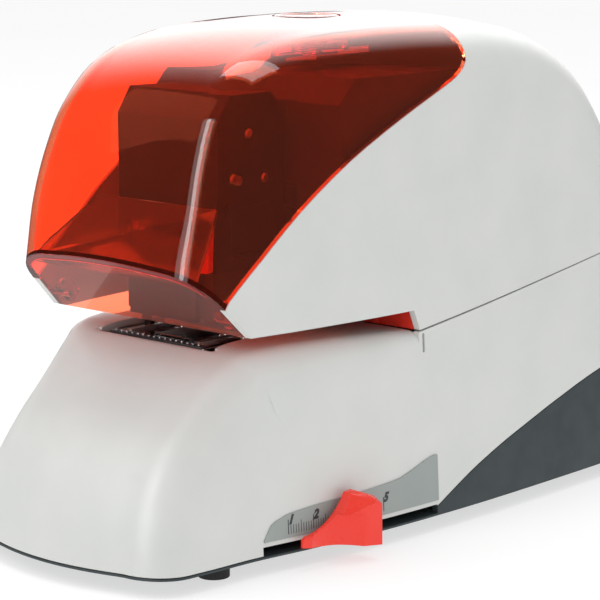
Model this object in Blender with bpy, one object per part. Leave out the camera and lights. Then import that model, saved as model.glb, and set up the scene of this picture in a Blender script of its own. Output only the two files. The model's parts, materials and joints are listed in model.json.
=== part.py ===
"""Electric stapler: a white two-part housing on a grey base tray, a red see-through front cover that tips
forward, a swinging stapling head with its staple cassette, a geared cam drive, a paper stop that a side
knob sets, and the electrics in the base.

Design frame: X is the width (x = 0 is the plane of symmetry), the paper goes in along +Y, Z is up from the
table the feet stand on.  All sizes below are millimetres; MM turns them into metres.
"""
import math

import bmesh
import bpy
from mathutils import Matrix, Vector

MM = 0.001
GAP = 0.3            # clearance between pieces that touch
HALF_ROOT = math.sqrt(0.5)

# ---- driving dimensions -------------------------------------------------------------------------------
FRAME_SHIFT = (-4.1, -14.6)      # puts the origin under the middle of the whole part
WALL = 2.4                       # thickness of the moulded shells
FLOOR_Z = 5.2                    # underside of the base tray
TRAY_Z = 6.1                     # where the white shell meets the tray along the front
TABLE_Z = 67.0                   # floor of the recess that the anvil plate lies in
HOOD_Z = 75.0                    # lower edge of the hood over the paper throat
THROAT_END_Y = 6.0               # back of the paper throat
SEAM = [(7.5, 68.0), (150.0, 86.4)]   # joint line between hood and base (y, z)
WIDTH_Z = 75.0                   # height at which WIDTH_POINTS lists half the width
WIDTH_POINTS = [(-125, 39.0), (-90, 43.0), (-68, 44.7), (-47, 47.8), (-20, 50.5), (5, 52.0),
                (40, 52.6), (90, 51.5), (145, 49.5)]
DRAFT_LOW = 0.055                # side walls widen downwards by this per mm
DRAFT_HIGH = 0.05                # and close in upwards by this per mm

# centre-line outlines (y, z), each with the corner rounding there (across X, and inwards from the outline)
# and the crown: how far the skin falls away from the outline at CROWN_X
CROWN_X = 40.0
CROWN_STEPS, ROUND_STEPS, SIDE_STEPS = 3, 4, 3
HOOD_OUTLINE = [(-92.0, 60.0, 18, 12, 3.9), (-90.3, 80.0, 18, 12, 3.9), (-88.2, 97.5, 18, 12, 3.9),
                (-84.5, 114.0, 14, 10, 3.9), (-79.0, 131.0, 14, 11, 3.9), (-71.0, 146.0, 15, 13, 3.7),
                (-56.0, 159.0, 17, 15, 3.6), (-32.0, 165.8, 18, 15, 3.6), (0.0, 168.0, 18, 14, 3.6),
                (32.0, 168.0, 18, 14, 3.6), (64.0, 166.0, 18, 14, 3.6), (88.0, 159.5, 18, 15, 3.6),
                (107.0, 148.0, 17, 16, 3.6), (121.0, 132.5, 16, 16, 3.6), (130.0, 115.0, 15, 15, 3.3),
                (135.5, 95.0, 15, 15, 3.0), (138.0, 75.0, 15, 15, 3.0), (139.0, 60.0, 15, 15, 3.0)]
FRONT_OUTLINE = [(-112.5, 0.0, 14, 12, 8.9), (-112.0, 8.0, 14, 12, 8.9), (-109.5, 20.0, 15, 13, 8.9),
                 (-104.0, 33.0, 16, 15, 8.6), (-94.0, 46.0, 17, 18, 7.5), (-80.0, 58.5, 15, 20, 5.0),
                 (-68.0, 66.5, 12, 19, 2.0), (-58.0, 69.6, 9, 17, 0.3), (-35.0, 69.6, 8, 13, 0.0),
                 (-10.0, 68.6, 7, 9, 0.0), (6.0, 67.8, 5, 4, 0.0)]
TOP_OUTLINE = [(6.5, 97.0, 5, 4, 0.0), (60.0, 99.0, 6, 6, 0.0), (118.0, 99.0, 12, 8, 0.0)]
REAR_OUTLINE = [(136.5, 99.0, 15, 15, 3.0), (138.2, 75.0, 15, 15, 3.0), (139.8, 50.0, 15, 15, 3.0),
                (140.5, 25.0, 15, 15, 3.0), (140.5, 0.0, 15, 15, 3.0)]
# each section of a skin: its outline, the line in the side view that its ribs run down to, its ribs
HOOD_SKIN = [(HOOD_OUTLINE, [(-70.0, 60.0), (0.0, 60.0), (120.0, 60.0)], 24)]
BASE_SKIN = [(FRONT_OUTLINE, [(-92.0, 0.0), (6.0, 0.0)], 17), (TOP_OUTLINE, [(6.5, 0.0), (98.0, 0.0)], 5),
             (REAR_OUTLINE, [(104.0, 0.0), (118.0, 0.0)], 4)]

CHIN_Y = -65.7                   # lower edge of the chin; from there it rises forwards at 45 degrees
COVER_PIVOT = (-67.5, 81.0)      # the front cover tips about this axis (y, z)
TIP_RADIUS = 8.9                 # the side panels' tips are rounded about the pivot
COVER_EDGE = [(-60.0, 98.9), (-44.5, 112.0), (-23.0, 126.0), (0.0, 137.3), (20.0, 145.6), (28.5, 149.4),
              (33.0, 153.2), (34.5, 158.0), (34.8, 175.0)]
TRAY_EDGE = [(11.9, 6.1), (12.0, 8.2), (29.4, 16.6), (46.1, 23.0), (63.6, 28.4), (81.8, 33.6), (107.1, 39.8), (150.0, 47.5)]

SLOT_Y = (-64.5, 12.4)           # side slot of the knob
SLOT_Z = (6.4, 9.0)
STOP_Y = -42.0                   # where the paper stop stands at rest

PIVOT_SHAFT = (80.0, 86.0)       # the head swings about this (y, z)
CAM_SHAFT = (30.0, 114.6)
CAM_START_RADIUS = 9.0
CAM_RISE = 2.27                  # over the cam's working turn
CAM_TURN = math.radians(150)
ROLLER_AT = (30.0, 100.3)
ROLLER_RADIUS = 5.0
PLATE_X = 27.5                   # middle of each steel side plate
PLATE_THICKNESS = 2.0
SLOW_MODULE, SLOW_TEETH, SLOW_PINION_TEETH = 1.0, 36, 12
FAST_MODULE, FAST_TEETH, MOTOR_PINION_TEETH = 0.8, 32, 10
SLOW_LINE = math.radians(30)     # direction from the cam shaft to the second shaft
FAST_LINE = math.radians(-35)    # direction from the second shaft to the motor shaft
SLOW_CENTRES = SLOW_MODULE * (SLOW_TEETH + SLOW_PINION_TEETH) / 2
FAST_CENTRES = FAST_MODULE * (FAST_TEETH + MOTOR_PINION_TEETH) / 2
SECOND_SHAFT = (CAM_SHAFT[0] + SLOW_CENTRES * math.cos(SLOW_LINE), CAM_SHAFT[1] + SLOW_CENTRES * math.sin(SLOW_LINE))
MOTOR_SHAFT = (SECOND_SHAFT[0] + FAST_CENTRES * math.cos(FAST_LINE),
               SECOND_SHAFT[1] + FAST_CENTRES * math.sin(FAST_LINE))
MOTOR_RADIUS = 14.0

BUTTON_AT = (0.0, 9.0)           # release button in the cover's crown (x, y)
BUTTON_RADIUS = 11.2
SHIELD_Y = (-22.0, 34.0)         # the dark liner round the drive
INLET_X, INLET_Z = (-38.0, -12.0), (17.0, 37.0)
SWITCH_X, SWITCH_Z = (17.5, 33.5), (17.0, 37.0)
ROCKER_AT = (136.5, 27.0)        # the rocker swings about this (y, z)
ROCKER_TILT = math.radians(6)
LABEL_TOP = [(-64.2, 11.2), (-62.5, 13.8), (-60.7, 15.9), (-57.0, 17.3), (-53.5, 18.2), (-45.0, 19.0),
             (-36.9, 19.5), (-22.0, 20.0), (-7.9, 20.9), (-3.0, 21.9), (1.8, 23.4), (6.0, 24.8), (10.4, 25.9),
             (12.6, 25.8)]


def clear_scene():
    for thing in list(bpy.data.objects):
        bpy.data.objects.remove(thing, do_unlink=True)


def material(name, colour, roughness, metallic=0.0, see_through=0.0):
    made = bpy.data.materials.new(name)
    made.use_nodes = True
    shader = made.node_tree.nodes["Principled BSDF"]
    shader.inputs["Base Color"].default_value = (*colour, 1.0)
    shader.inputs["Roughness"].default_value = roughness
    shader.inputs["Metallic"].default_value = metallic
    shader.inputs["Transmission Weight"].default_value = see_through
    made.diffuse_color = (*colour, 1.0)
    return made


def add(name, mesh, finish, holder=None):
    """Makes an object of a bmesh in millimetres of the design frame, hung on the holder."""
    bmesh.ops.recalc_face_normals(mesh, faces=mesh.faces)
    if mesh.calc_volume(signed=True) < 0:
        bmesh.ops.reverse_faces(mesh, faces=mesh.faces)
    bmesh.ops.scale(mesh, vec=(MM, MM, MM), verts=mesh.verts)
    data = bpy.data.meshes.new(name)
    mesh.to_mesh(data)
    mesh.free()
    if finish is not None:
        data.materials.append(finish)
    made = bpy.data.objects.new(name, data)
    bpy.context.scene.collection.objects.link(made)
    hang(made, holder, (0, 0, 0))
    return made


def hang(piece, holder, at):
    """Parents the piece and puts its origin at a point of the design frame."""
    piece.parent = holder
    own = Vector(holder["design_at"]) if holder else Vector((0, 0, 0))
    piece.location = (Vector(at) - own) * MM
    piece["design_at"] = at


def axis_empty(name, holder, at):
    """An empty on a joint's axis that holds the pieces which move together."""
    made = bpy.data.objects.new(name, None)
    bpy.context.scene.collection.objects.link(made)
    hang(made, holder, at)
    return made


def change(target, other, operation):
    step = target.modifiers.new(operation.lower(), "BOOLEAN")
    step.operation = operation
    step.object = other
    step.solver = "EXACT"
    other.hide_render = True
    other.display_type = "WIRE"
    return target


def together(*meshes):
    """Several bmeshes that don't touch, as one."""
    whole = bmesh.new()
    for mesh in meshes:
        made = {vert: whole.verts.new(vert.co) for vert in mesh.verts}
        for face in mesh.faces:
            whole.faces.new([made[vert] for vert in face.verts])
        mesh.free()
    return whole


def cut(target, *meshes):
    """Takes the bmeshes, which don't touch each other, away from the target in the target's own frame."""
    return change(target, add(target.name + "_cutter", together(*meshes), None, target), "DIFFERENCE")


def join(target, *meshes):
    """Adds each bmesh to the target as one body with it."""
    for mesh in meshes:
        change(target, add(target.name + "_addition", mesh, None, target), "UNION")
    return target


def keep(target, mesh):
    """Keeps only what lies inside the bmesh."""
    return change(target, add(target.name + "_limit", mesh, None, target), "INTERSECT")


def box(x, y, z):
    """A block from x[0] to x[1] and so on."""
    mesh = bmesh.new()
    bmesh.ops.create_cube(mesh, size=1.0)
    size = (x[1] - x[0], y[1] - y[0], z[1] - z[0])
    middle = ((x[0] + x[1]) / 2, (y[0] + y[1]) / 2, (z[0] + z[1]) / 2)
    bmesh.ops.scale(mesh, vec=size, verts=mesh.verts)
    bmesh.ops.translate(mesh, vec=middle, verts=mesh.verts)
    return mesh


def prism(outline, low, high, axis="X"):
    """An outline extruded from low to high.  Along X the outline is (y, z); along Y (x, z); along Z (x, y)."""
    place = {"X": lambda a, b, h: (h, a, b), "Y": lambda a, b, h: (a, h, b), "Z": lambda a, b, h: (a, b, h)}[axis]
    mesh = bmesh.new()
    rings = [[mesh.verts.new(place(a, b, h)) for a, b in outline] for h in (low, high)]
    count = len(outline)
    mesh.faces.new(rings[0])
    mesh.faces.new(rings[1])
    for i in range(count):
        j = (i + 1) % count
        mesh.faces.new((rings[0][i], rings[0][j], rings[1][j], rings[1][i]))
    return mesh


def ring_points(centre, radius, sides, turn=0.0):
    return [(centre[0] + radius * math.cos(turn + math.tau * i / sides),
             centre[1] + radius * math.sin(turn + math.tau * i / sides)) for i in range(sides)]


def rod(centre, radius, low, high, axis="X", sides=20):
    return prism(ring_points(centre, radius, sides, math.pi / sides), low, high, axis)


def tube(centre, outer, inner, low, high, axis="X", sides=20):
    mesh = bmesh.new()
    place = {"X": lambda a, b, h: (h, a, b), "Y": lambda a, b, h: (a, h, b), "Z": lambda a, b, h: (a, b, h)}[axis]
    loops = [[mesh.verts.new(place(a, b, h)) for a, b in ring_points(centre, r, sides, math.pi / sides)]
             for r, h in ((outer, low), (outer, high), (inner, high), (inner, low))]
    for k in range(4):
        for i in range(sides):
            j = (i + 1) % sides
            mesh.faces.new((loops[k][i], loops[k][j], loops[(k + 1) % 4][j], loops[(k + 1) % 4][i]))
    return mesh


def rounded(corners, radius, steps=4):
    """A closed outline with its corners rounded."""
    made = []
    count = len(corners)
    for i in range(count):
        here = Vector(corners[i])
        back = (Vector(corners[i - 1]) - here)
        ahead = (Vector(corners[(i + 1) % count]) - here)
        half = back.angle(ahead) / 2
        reach = min(radius / math.tan(half), back.length * 0.45, ahead.length * 0.45)
        start, end = here + back.normalized() * reach, here + ahead.normalized() * reach
        for k in range(steps + 1):
            t = k / steps
            point = start * (1 - t) ** 2 + here * 2 * t * (1 - t) + end * t ** 2
            made.append((point.x, point.y))
    return made


def smooth_at(points, place):
    """A smooth curve through points; place runs from 0 to the last point's index."""
    last = len(points) - 1
    i = min(int(place), last - 1)
    t = place - i
    p0, p1, p2, p3 = (points[min(max(k, 0), last)] for k in (i - 1, i, i + 1, i + 2))
    return [0.5 * (2 * b + (c - a) * t + (2 * a - 5 * b + 4 * c - d) * t * t + (3 * b - a - 3 * c + d) * t ** 3)
            for a, b, c, d in zip(p0, p1, p2, p3)]


def half_width(y, z):
    """Half the width of the outer skin at a point of the side view."""
    y = min(max(y, WIDTH_POINTS[0][0]), WIDTH_POINTS[-1][0])
    i = max(k for k in range(len(WIDTH_POINTS) - 1) if WIDTH_POINTS[k][0] <= y)
    t = (y - WIDTH_POINTS[i][0]) / (WIDTH_POINTS[i + 1][0] - WIDTH_POINTS[i][0])
    wide = smooth_at(WIDTH_POINTS, i + t)[1]
    return wide + (WIDTH_Z - z) * (DRAFT_LOW if z < WIDTH_Z else DRAFT_HIGH)


def rib_stations(sections, inset):
    """Where each rib of a skin starts, its direction inwards, its corner roundings and where it ends."""
    stations = []
    for outline, heart, count in sections:
        last = len(outline) - 1
        for i in range(count + 1):
            place = last * i / count
            y, z, across_radius, down_radius, crown = smooth_at(outline, place)
            ahead = smooth_at(outline, min(place + 0.05, last))
            behind = smooth_at(outline, max(place - 0.05, 0))
            run = Vector((ahead[0] - behind[0], ahead[1] - behind[1])).normalized()
            inward = Vector((run.y, -run.x))
            goal = Vector(smooth_at(heart, (len(heart) - 1) * i / count))
            stations.append([Vector((y, z)) + inward * inset, inward, across_radius, down_radius, crown, goal])
    for end in (0, -1):
        stations[end][1] = (stations[end][-1] - stations[end][0]).normalized()
    return stations


def rib(start, inward, across_radius, down_radius, crown, goal, inset):
    """One rib as (x, side-view point): over the crown, round the corner, down the side wall."""
    wide = half_width(start.x, start.y) - inset
    round_x = max(across_radius - inset, 2.0)
    round_down = max(down_radius - inset, 2.0)
    flat = wide - round_x
    points = []
    for k in range(CROWN_STEPS):
        x = flat * k / CROWN_STEPS
        points.append((x, start + inward * crown * (x / CROWN_X) ** 2))
    for k in range(ROUND_STEPS + 1):
        turn = math.pi / 2 * k / ROUND_STEPS
        spot = start + inward * (crown * (flat / CROWN_X) ** 2 + round_down * (1 - math.cos(turn)))
        points.append((half_width(spot.x, spot.y) - inset - round_x * (1 - math.sin(turn)), spot))
    corner = points[-1][1]
    for k in range(1, SIDE_STEPS + 1):
        spot = corner.lerp(goal, k / SIDE_STEPS)
        points.append((half_width(spot.x, spot.y) - inset, spot))
    return points


def skin(sections, inset=0.0):
    """The closed outer form of a housing, or its inner form when inset by the wall thickness."""
    mesh = bmesh.new()
    right, left = [], []
    for station in rib_stations(sections, inset):
        points = rib(*station, inset)
        right.append([mesh.verts.new((x, p.x, p.y)) for x, p in points])
        left.append([right[-1][0]] + [mesh.verts.new((-x, p.x, p.y)) for x, p in points[1:]])
    for i in range(len(right) - 1):
        for k in range(len(right[0]) - 1):
            mesh.faces.new((right[i][k], right[i][k + 1], right[i + 1][k + 1], right[i + 1][k]))
            mesh.faces.new((left[i + 1][k], left[i + 1][k + 1], left[i][k + 1], left[i][k]))
        mesh.faces.new((right[i][-1], left[i][-1], left[i + 1][-1], right[i + 1][-1]))
    for end in (0, -1):
        mesh.faces.new(right[end] + left[end][:0:-1])
    return mesh


def offset_line(line, offset):
    """An open line of (y, z) points moved sideways, to the left of its run, by the offset."""
    moved = []
    for i, point in enumerate(line):
        ahead = Vector(line[min(i + 1, len(line) - 1)])
        behind = Vector(line[max(i - 1, 0)])
        run = (ahead - behind).normalized()
        moved.append((point[0] - run.y * offset, point[1] + run.x * offset))
    return moved


def between_walls(outline, inset):
    """A filling across X whose ends stay `inset` inside the outer skin."""
    mesh = bmesh.new()
    rings = [[mesh.verts.new((side * (half_width(y, z) - inset), y, z)) for y, z in outline] for side in (1, -1)]
    mesh.faces.new(rings[0])
    mesh.faces.new(rings[1])
    count = len(outline)
    for i in range(count):
        j = (i + 1) % count
        mesh.faces.new((rings[0][i], rings[0][j], rings[1][j], rings[1][i]))
    bmesh.ops.triangulate(mesh, faces=mesh.faces)
    return mesh


def below_chin(run, inward):
    """A point of the side view, `run` up the chin from its lower edge and `inward` of its plane."""
    return (CHIN_Y + (inward - run) * HALF_ROOT, HOOD_Z + (inward + run) * HALF_ROOT)


def cover_region(grown):
    """Side view of what belongs to the front cover: from the pivot's arc up along the joint line."""
    slope = math.atan2(COVER_EDGE[1][1] - COVER_EDGE[0][1], COVER_EDGE[1][0] - COVER_EDGE[0][0])
    radius = TIP_RADIUS - grown
    arc = []
    for k in range(6):
        turn = slope + math.radians(90 + 50 * (1 - k / 5))
        arc.append((COVER_PIVOT[0] + radius * math.cos(turn), COVER_PIVOT[1] + radius * math.sin(turn)))
    edge = offset_line(COVER_EDGE, -grown)
    return arc + edge + [(edge[-1][0], 220), (-200, 220), (-200, arc[0][1])]


def chin_filling(inset):
    """The zone of the chin wall between the side panels."""
    runs = [-4 + 4 * k for k in range(12)]
    outline = [below_chin(run, -3) for run in runs] + [below_chin(run, WALL + 0.8) for run in reversed(runs)]
    return between_walls(outline, inset)


def cover_zone(owner, grown, inset):
    """A helper body round all that belongs to the front cover: its side view, and the chin between the walls."""
    zone = add(owner.name + "_zone", prism(cover_region(grown), -72, 72), None, owner)
    chin = add(owner.name + "_chin_zone", chin_filling(inset), None, owner)
    return change(zone, chin, "UNION")


def hood_shell(name, finish, holder):
    """The whole hood as a shell with a chin wall and an open underside."""
    far = 125.0
    outer = [(CHIN_Y, HOOD_Z), (THROAT_END_Y - 2, HOOD_Z), (THROAT_END_Y + 0.5, SEAM[0][1] + 0.2), SEAM[1],
             (150, 200), (CHIN_Y - far, HOOD_Z + far)]
    inner_start = CHIN_Y + WALL / HALF_ROOT
    inner = [(inner_start, 55), (inner_start, HOOD_Z), (inner_start - far, HOOD_Z + far), (150, HOOD_Z + far),
             (150, 55)]
    shell = add(name, skin(HOOD_SKIN), finish, holder)
    keep(shell, prism(outer, -70, 70))
    hollow = add(name + "_hollow", skin(HOOD_SKIN, WALL), None, shell)
    keep(hollow, prism(inner, -71, 71))
    return change(shell, hollow, "DIFFERENCE")


def base_shell(name, finish, holder, region, floor):
    """The part of the base skin inside a side-view region, hollow above the floor height."""
    shell = add(name, skin(BASE_SKIN), finish, holder)
    keep(shell, prism(region, -70, 70))
    hollow = add(name + "_hollow", skin(BASE_SKIN, WALL), None, shell)
    if floor is not None:
        keep(hollow, box((-71, 71), (-130, 160), (floor, 120)))
    return change(shell, hollow, "DIFFERENCE")


def side_sheet(columns, inner, outer, side=1):
    """A thin sheet over the side wall; each column is (y, low z, high z)."""
    mesh = bmesh.new()
    rows = 3
    grids = []
    for offset in (inner, outer):
        grids.append([[mesh.verts.new((side * (half_width(y, low + (high - low) * k / rows) + offset), y,
                                       low + (high - low) * k / rows)) for k in range(rows + 1)]
                      for y, low, high in columns])
    last = len(columns) - 1
    for grid in grids:
        for i in range(last):
            for k in range(rows):
                mesh.faces.new((grid[i][k], grid[i + 1][k], grid[i + 1][k + 1], grid[i][k + 1]))
    low, high = grids
    for i in range(last):
        for k in (0, rows):
            mesh.faces.new((low[i][k], low[i + 1][k], high[i + 1][k], high[i][k]))
    for k in range(rows):
        for i in (0, last):
            mesh.faces.new((low[i][k], low[i][k + 1], high[i][k + 1], high[i][k]))
    return mesh


def gear_outline(teeth, module, phase, slack=0.10):
    """Involute gear outline about its own centre; phase turns one tooth's middle to that angle."""
    pressure = math.radians(20)
    pitch = teeth * module / 2
    base = pitch * math.cos(pressure)
    tip, root = pitch + 0.85 * module, pitch - 1.2 * module
    half = math.pi / (2 * teeth) - slack * module / pitch + math.tan(pressure) - pressure
    flank = []
    for radius in (max(base, root + 0.3 * module), tip):
        bend = math.acos(min(base / radius, 1.0))
        flank.append((radius, half - (math.tan(bend) - bend)))
    flank.insert(0, (root, flank[0][1]))
    outline = []
    for tooth in range(teeth):
        middle = phase + math.tau * tooth / teeth
        for radius, wide in flank:
            outline.append((radius * math.cos(middle - wide), radius * math.sin(middle - wide)))
        for radius, wide in reversed(flank):
            outline.append((radius * math.cos(middle + wide), radius * math.sin(middle + wide)))
    return outline


def meshing_phase(line, own_teeth, other_teeth, other_phase):
    """Phase that puts a gap of this gear on the line towards its neighbour, opposite the neighbour's tooth.

    `line` is the direction from the neighbour's centre to this gear's centre.
    """
    off_tooth = (line - other_phase) * other_teeth / math.tau
    return line + math.pi + (off_tooth + 0.5) * math.tau / own_teeth


def helix(radius, wire, turns, low, high, at, sides=6, steps=12):
    """A compression spring along Z with closed ends cut off square."""
    mesh = bmesh.new()
    count = turns * steps
    rings = []
    for i in range(count + 1):
        turn = math.tau * i / steps
        height = low + wire + (high - low - 2 * wire) * i / count
        out = Vector((math.cos(turn), math.sin(turn), 0))
        rings.append([mesh.verts.new(Vector((at[0], at[1], height)) + out * radius
                                     + out * wire * math.cos(math.tau * k / sides)
                                     + Vector((0, 0, wire * math.sin(math.tau * k / sides))))
                      for k in range(sides)])
    for i in range(count):
        for k in range(sides):
            j = (k + 1) % sides
            mesh.faces.new((rings[i][k], rings[i][j], rings[i + 1][j], rings[i + 1][k]))
    mesh.faces.new(rings[0])
    mesh.faces.new(rings[-1])
    return mesh


def make_finishes():
    return {
        "white": material("white_plastic", (0.72, 0.73, 0.70), 0.32),
        "grey": material("grey_plastic", (0.10, 0.13, 0.14), 0.38),
        "red_clear": material("red_clear_plastic", (0.75, 0.03, 0.02), 0.08, 0.0, 0.9),
        "smoked": material("smoked_plastic", (0.06, 0.05, 0.05), 0.12, 0.0, 0.6),
        "red": material("red_plastic", (0.80, 0.06, 0.04), 0.3),
        "black": material("black_plastic", (0.02, 0.02, 0.02), 0.45),
        "label": material("label_film", (0.42, 0.46, 0.44), 0.4),
        "steel": material("zinc_steel", (0.62, 0.62, 0.60), 0.32, 1.0),
        "chrome": material("chrome", (0.80, 0.80, 0.80), 0.12, 1.0),
        "dark_steel": material("dark_steel", (0.10, 0.10, 0.11), 0.35, 1.0),
        "rubber": material("rubber", (0.03, 0.03, 0.03), 0.8),
        "nylon": material("nylon_gear", (0.80, 0.78, 0.70), 0.45),
        "board": material("board_green", (0.03, 0.20, 0.08), 0.4),
        "copper": material("copper_coil", (0.70, 0.32, 0.12), 0.35, 1.0),
    }


def make_housing(finish, chassis, cover_axis):
    seam_low = [(y, z - GAP) for y, z in SEAM]
    white_line = [(y, z + GAP / 2) for y, z in TRAY_EDGE]
    grey_line = [(y, z - GAP / 2) for y, z in TRAY_EDGE]

    housing = hood_shell("upper_housing", finish["white"], chassis)
    change(housing, cover_zone(housing, GAP / 2, WALL + 0.1), "DIFFERENCE")

    region = [(-130, TRAY_Z + GAP / 2)] + white_line + [seam_low[1], seam_low[0],
                                                      (THROAT_END_Y - 0.1, seam_low[0][1] - 0.1),
                                                      (THROAT_END_Y - 0.1, 80), (-130, 80)]
    base = base_shell("base_cover", finish["white"], chassis, region, None)
    cut(base, box((-27.4, 27.4), (-70, -62), (TABLE_Z + 1.0, 75)))
    cut(base, prism([(-25.8, -63.6), (25.8, -63.6), (25.8, -14), (22.2, -14), (22.2, -36), (-22.2, -36),
                     (-22.2, -14), (-25.8, -14)], 60, 75, "Z"),
        *[box((side * 54 - 6, side * 54 + 6), (7.6, 8.6), (60.7, 66.9)) for side in (1, -1)],
        box((40, 62), SLOT_Y, (5, SLOT_Z[1])))
    region = [(-130, FLOOR_Z), (-130, TRAY_Z - GAP / 2)] + grey_line + [(150, FLOOR_Z)]
    tray = base_shell("base_tray", finish["grey"], chassis, region, TRAY_Z + 0.4)
    cut(tray, box((43, 62), SLOT_Y, (SLOT_Z[0] - 0.5, 12)))

    cover = hood_shell("front_cover", finish["red_clear"], cover_axis)
    change(cover, cover_zone(cover, -GAP / 2, WALL + 0.45), "INTERSECT")
    return tray, cover


def make_cover_parts(finish, cover, cover_axis, chassis):
    """The cover's ears, its button with the latch, and the guard plate behind the chin."""
    py, pz = COVER_PIVOT
    button_y = BUTTON_AT[1]
    ears = [prism(rounded([pivot_point(-4.2, -1.5), pivot_point(4.2, -1.5), pivot_point(3.6, 4.4),
                           pivot_point(-3.6, 4.4)], 2.5), low, low + 3.0) for low in (34.5, -37.5)]
    join(cover, *ears)
    cut(cover, *[rod((py, pz), 1.5, low, low + 10.5, "X", 16) for low in (33.0, -43.5)])
    cut(cover, rod(BUTTON_AT, BUTTON_RADIUS + 0.4, 150, 175, "Z", 32))
    join(cover, tube(BUTTON_AT, BUTTON_RADIUS + 2.4, BUTTON_RADIUS + 0.45, 159.0, 166.6, "Z", 32))
    join(cover, tube(BUTTON_AT, BUTTON_RADIUS + 2.0, 3.2, 158.2, 159.6, "Z", 32))
    for name, low in (("cover_pivot_pin_right", 33.5), ("cover_pivot_pin_left", -41.6)):
        add(name, rod((py, pz), 1.2, low, low + 8.1, "X", 16), finish["steel"], chassis)

    guard = bmesh.new()
    low_edge, high_edge = (-80.2, 93.0), (-60.0, 111.5)
    corners = [(36.5, low_edge), (26.5, high_edge)]
    lift = (Vector(high_edge) - Vector(low_edge)).normalized()
    rings = []
    for thick in (0.0, 1.6):
        for half, (y, z) in corners:
            rings.append([guard.verts.new((x, y - lift.y * thick, z + lift.x * thick)) for x in (-half, half)])
    a, b, c, d = rings
    for quad in ((a[0], a[1], b[1], b[0]), (c[0], d[0], d[1], c[1]), (a[0], c[0], c[1], a[1]),
                 (b[0], b[1], d[1], d[0]), (a[0], b[0], d[0], c[0]), (a[1], c[1], d[1], b[1])):
        guard.faces.new(quad)
    add("finger_guard", guard, finish["smoked"], cover_axis)

    button_axis = axis_empty("button_axis", cover_axis, (0, 0, 0))
    button = add("release_button", rod(BUTTON_AT, BUTTON_RADIUS, 165.0, 168.2, "Z", 32), finish["red_clear"],
                 button_axis)
    join(button, rod(BUTTON_AT, 2.6, 156.9, 165.5, "Z", 16))
    hook = box((-7, 7), (button_y - 4, 33.6), (155.0, 156.6))
    latch = add("latch_hook", hook, finish["steel"], button_axis)
    join(latch, box((-7, 7), (31.6, 33.6), (156, 159.5)))
    add("button_spring", helix(6.0, 0.5, 3, 159.8, 164.8, BUTTON_AT), finish["steel"], button_axis)


def pivot_point(run, inward):
    """A point of the side view near the cover's pivot, measured along the chin and square to it."""
    return (COVER_PIVOT[0] + (inward - run) * HALF_ROOT, COVER_PIVOT[1] + (inward + run) * HALF_ROOT)


def make_frame(finish, chassis):
    """The fixed steel frame, the anvil and the liners."""
    plate = [(-64, 18), (95, 18), (95, 98), (76, 134), (22, 134), (13, 122), (13, 60), (-64, 60)]
    for name, side in (("side_plate_right", 1), ("side_plate_left", -1)):
        middle = side * PLATE_X
        low, high = middle - PLATE_THICKNESS / 2, middle + PLATE_THICKNESS / 2
        made = add(name, prism(rounded(plate, 4, 3), low, high), finish["steel"], chassis)
        holes = [(PIVOT_SHAFT, 3.1), (CAM_SHAFT, 3.1)]
        if side > 0:
            holes += [(SECOND_SHAFT, 2.3), (MOTOR_SHAFT, 3.0)]
        holes += [(spot, 9.0) for spot in ((-38, 38), (50, 38))]
        cut(made, *[rod(spot, radius, low - 1, high + 1) for spot, radius in holes])
    inside = PLATE_X - PLATE_THICKNESS / 2 - GAP
    for name, spot, radius in (("front_bolt", (-62, 52), 2.0), ("middle_spacer", (-3, 30), 2.5),
                               ("rear_spacer", (70, 30), 2.5)):
        add(name, rod(spot, radius, -inside, inside), finish["steel"], chassis)
    add("spring_seat", box((-inside, inside), (43, 57), (56.0, 60.5)), finish["steel"], chassis)
    add("head_pivot_shaft", rod(PIVOT_SHAFT, 3.0, -31, 31), finish["steel"], chassis)
    add("gear_stub", rod(SECOND_SHAFT, 2.0, 25.0, 40.0), finish["steel"], chassis)
    join(bpy.data.objects["gear_stub"], rod(SECOND_SHAFT, 4.0, 24.0, 26.2))

    outline = [(-66, 46), (-50, 46), (-50, 66.3), (-63.2, 66.3), (-63.2, 60), (-66, 60)]
    block = add("anvil_block", prism(outline, -16, 16), finish["dark_steel"], chassis)
    cut(block, rod((-62, 52), 2.3, -17, 17), box((-6.4, 6.4), (-57.4, -54.3), (58, 68)))
    anvil = add("anvil_plate", box((-21.8, 21.8), (-63.2, -36.4), (66.6, 68.2)), finish["chrome"], chassis)
    cut(anvil, box((-6.4, 6.4), (-57.4, -54.3), (66, 69)),
        *[box((x - 1.2, x + 1.2), (-52, -40), (67.5, 69)) for x in (-17, -10, 10, 17)])

    wide = half_width(THROAT_END_Y, 72) - WALL - GAP
    end = [(-wide, 68.0), (wide, 68.0), (wide, 77), (24, 77), (24, 73.4), (-24, 73.4), (-24, 77), (-wide, 77)]
    add("throat_liner", prism(end, THROAT_END_Y + 0.4, THROAT_END_Y + 2.2, "Y"), finish["red"], chassis)

    outer = [(SHIELD_Y[0], 80), (SHIELD_Y[0], 143), (SHIELD_Y[0] + 7, 151), (SHIELD_Y[1], 151), (SHIELD_Y[1], 80)]
    inner = [(SHIELD_Y[0] + 1.5, 79), (SHIELD_Y[0] + 1.5, 142.4), (SHIELD_Y[0] + 7.7, 149.5),
             (SHIELD_Y[1] + 1, 149.5), (SHIELD_Y[1] + 1, 79)]
    shield = add("mechanism_shield", between_walls(outer, WALL + 3.2), finish["black"], chassis)
    cut(shield, between_walls(inner, WALL + 4.7))
    cut(shield, box((-23.8, 23.8), (SHIELD_Y[0] - 1, SHIELD_Y[0] + 4), (78, 116)))


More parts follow.
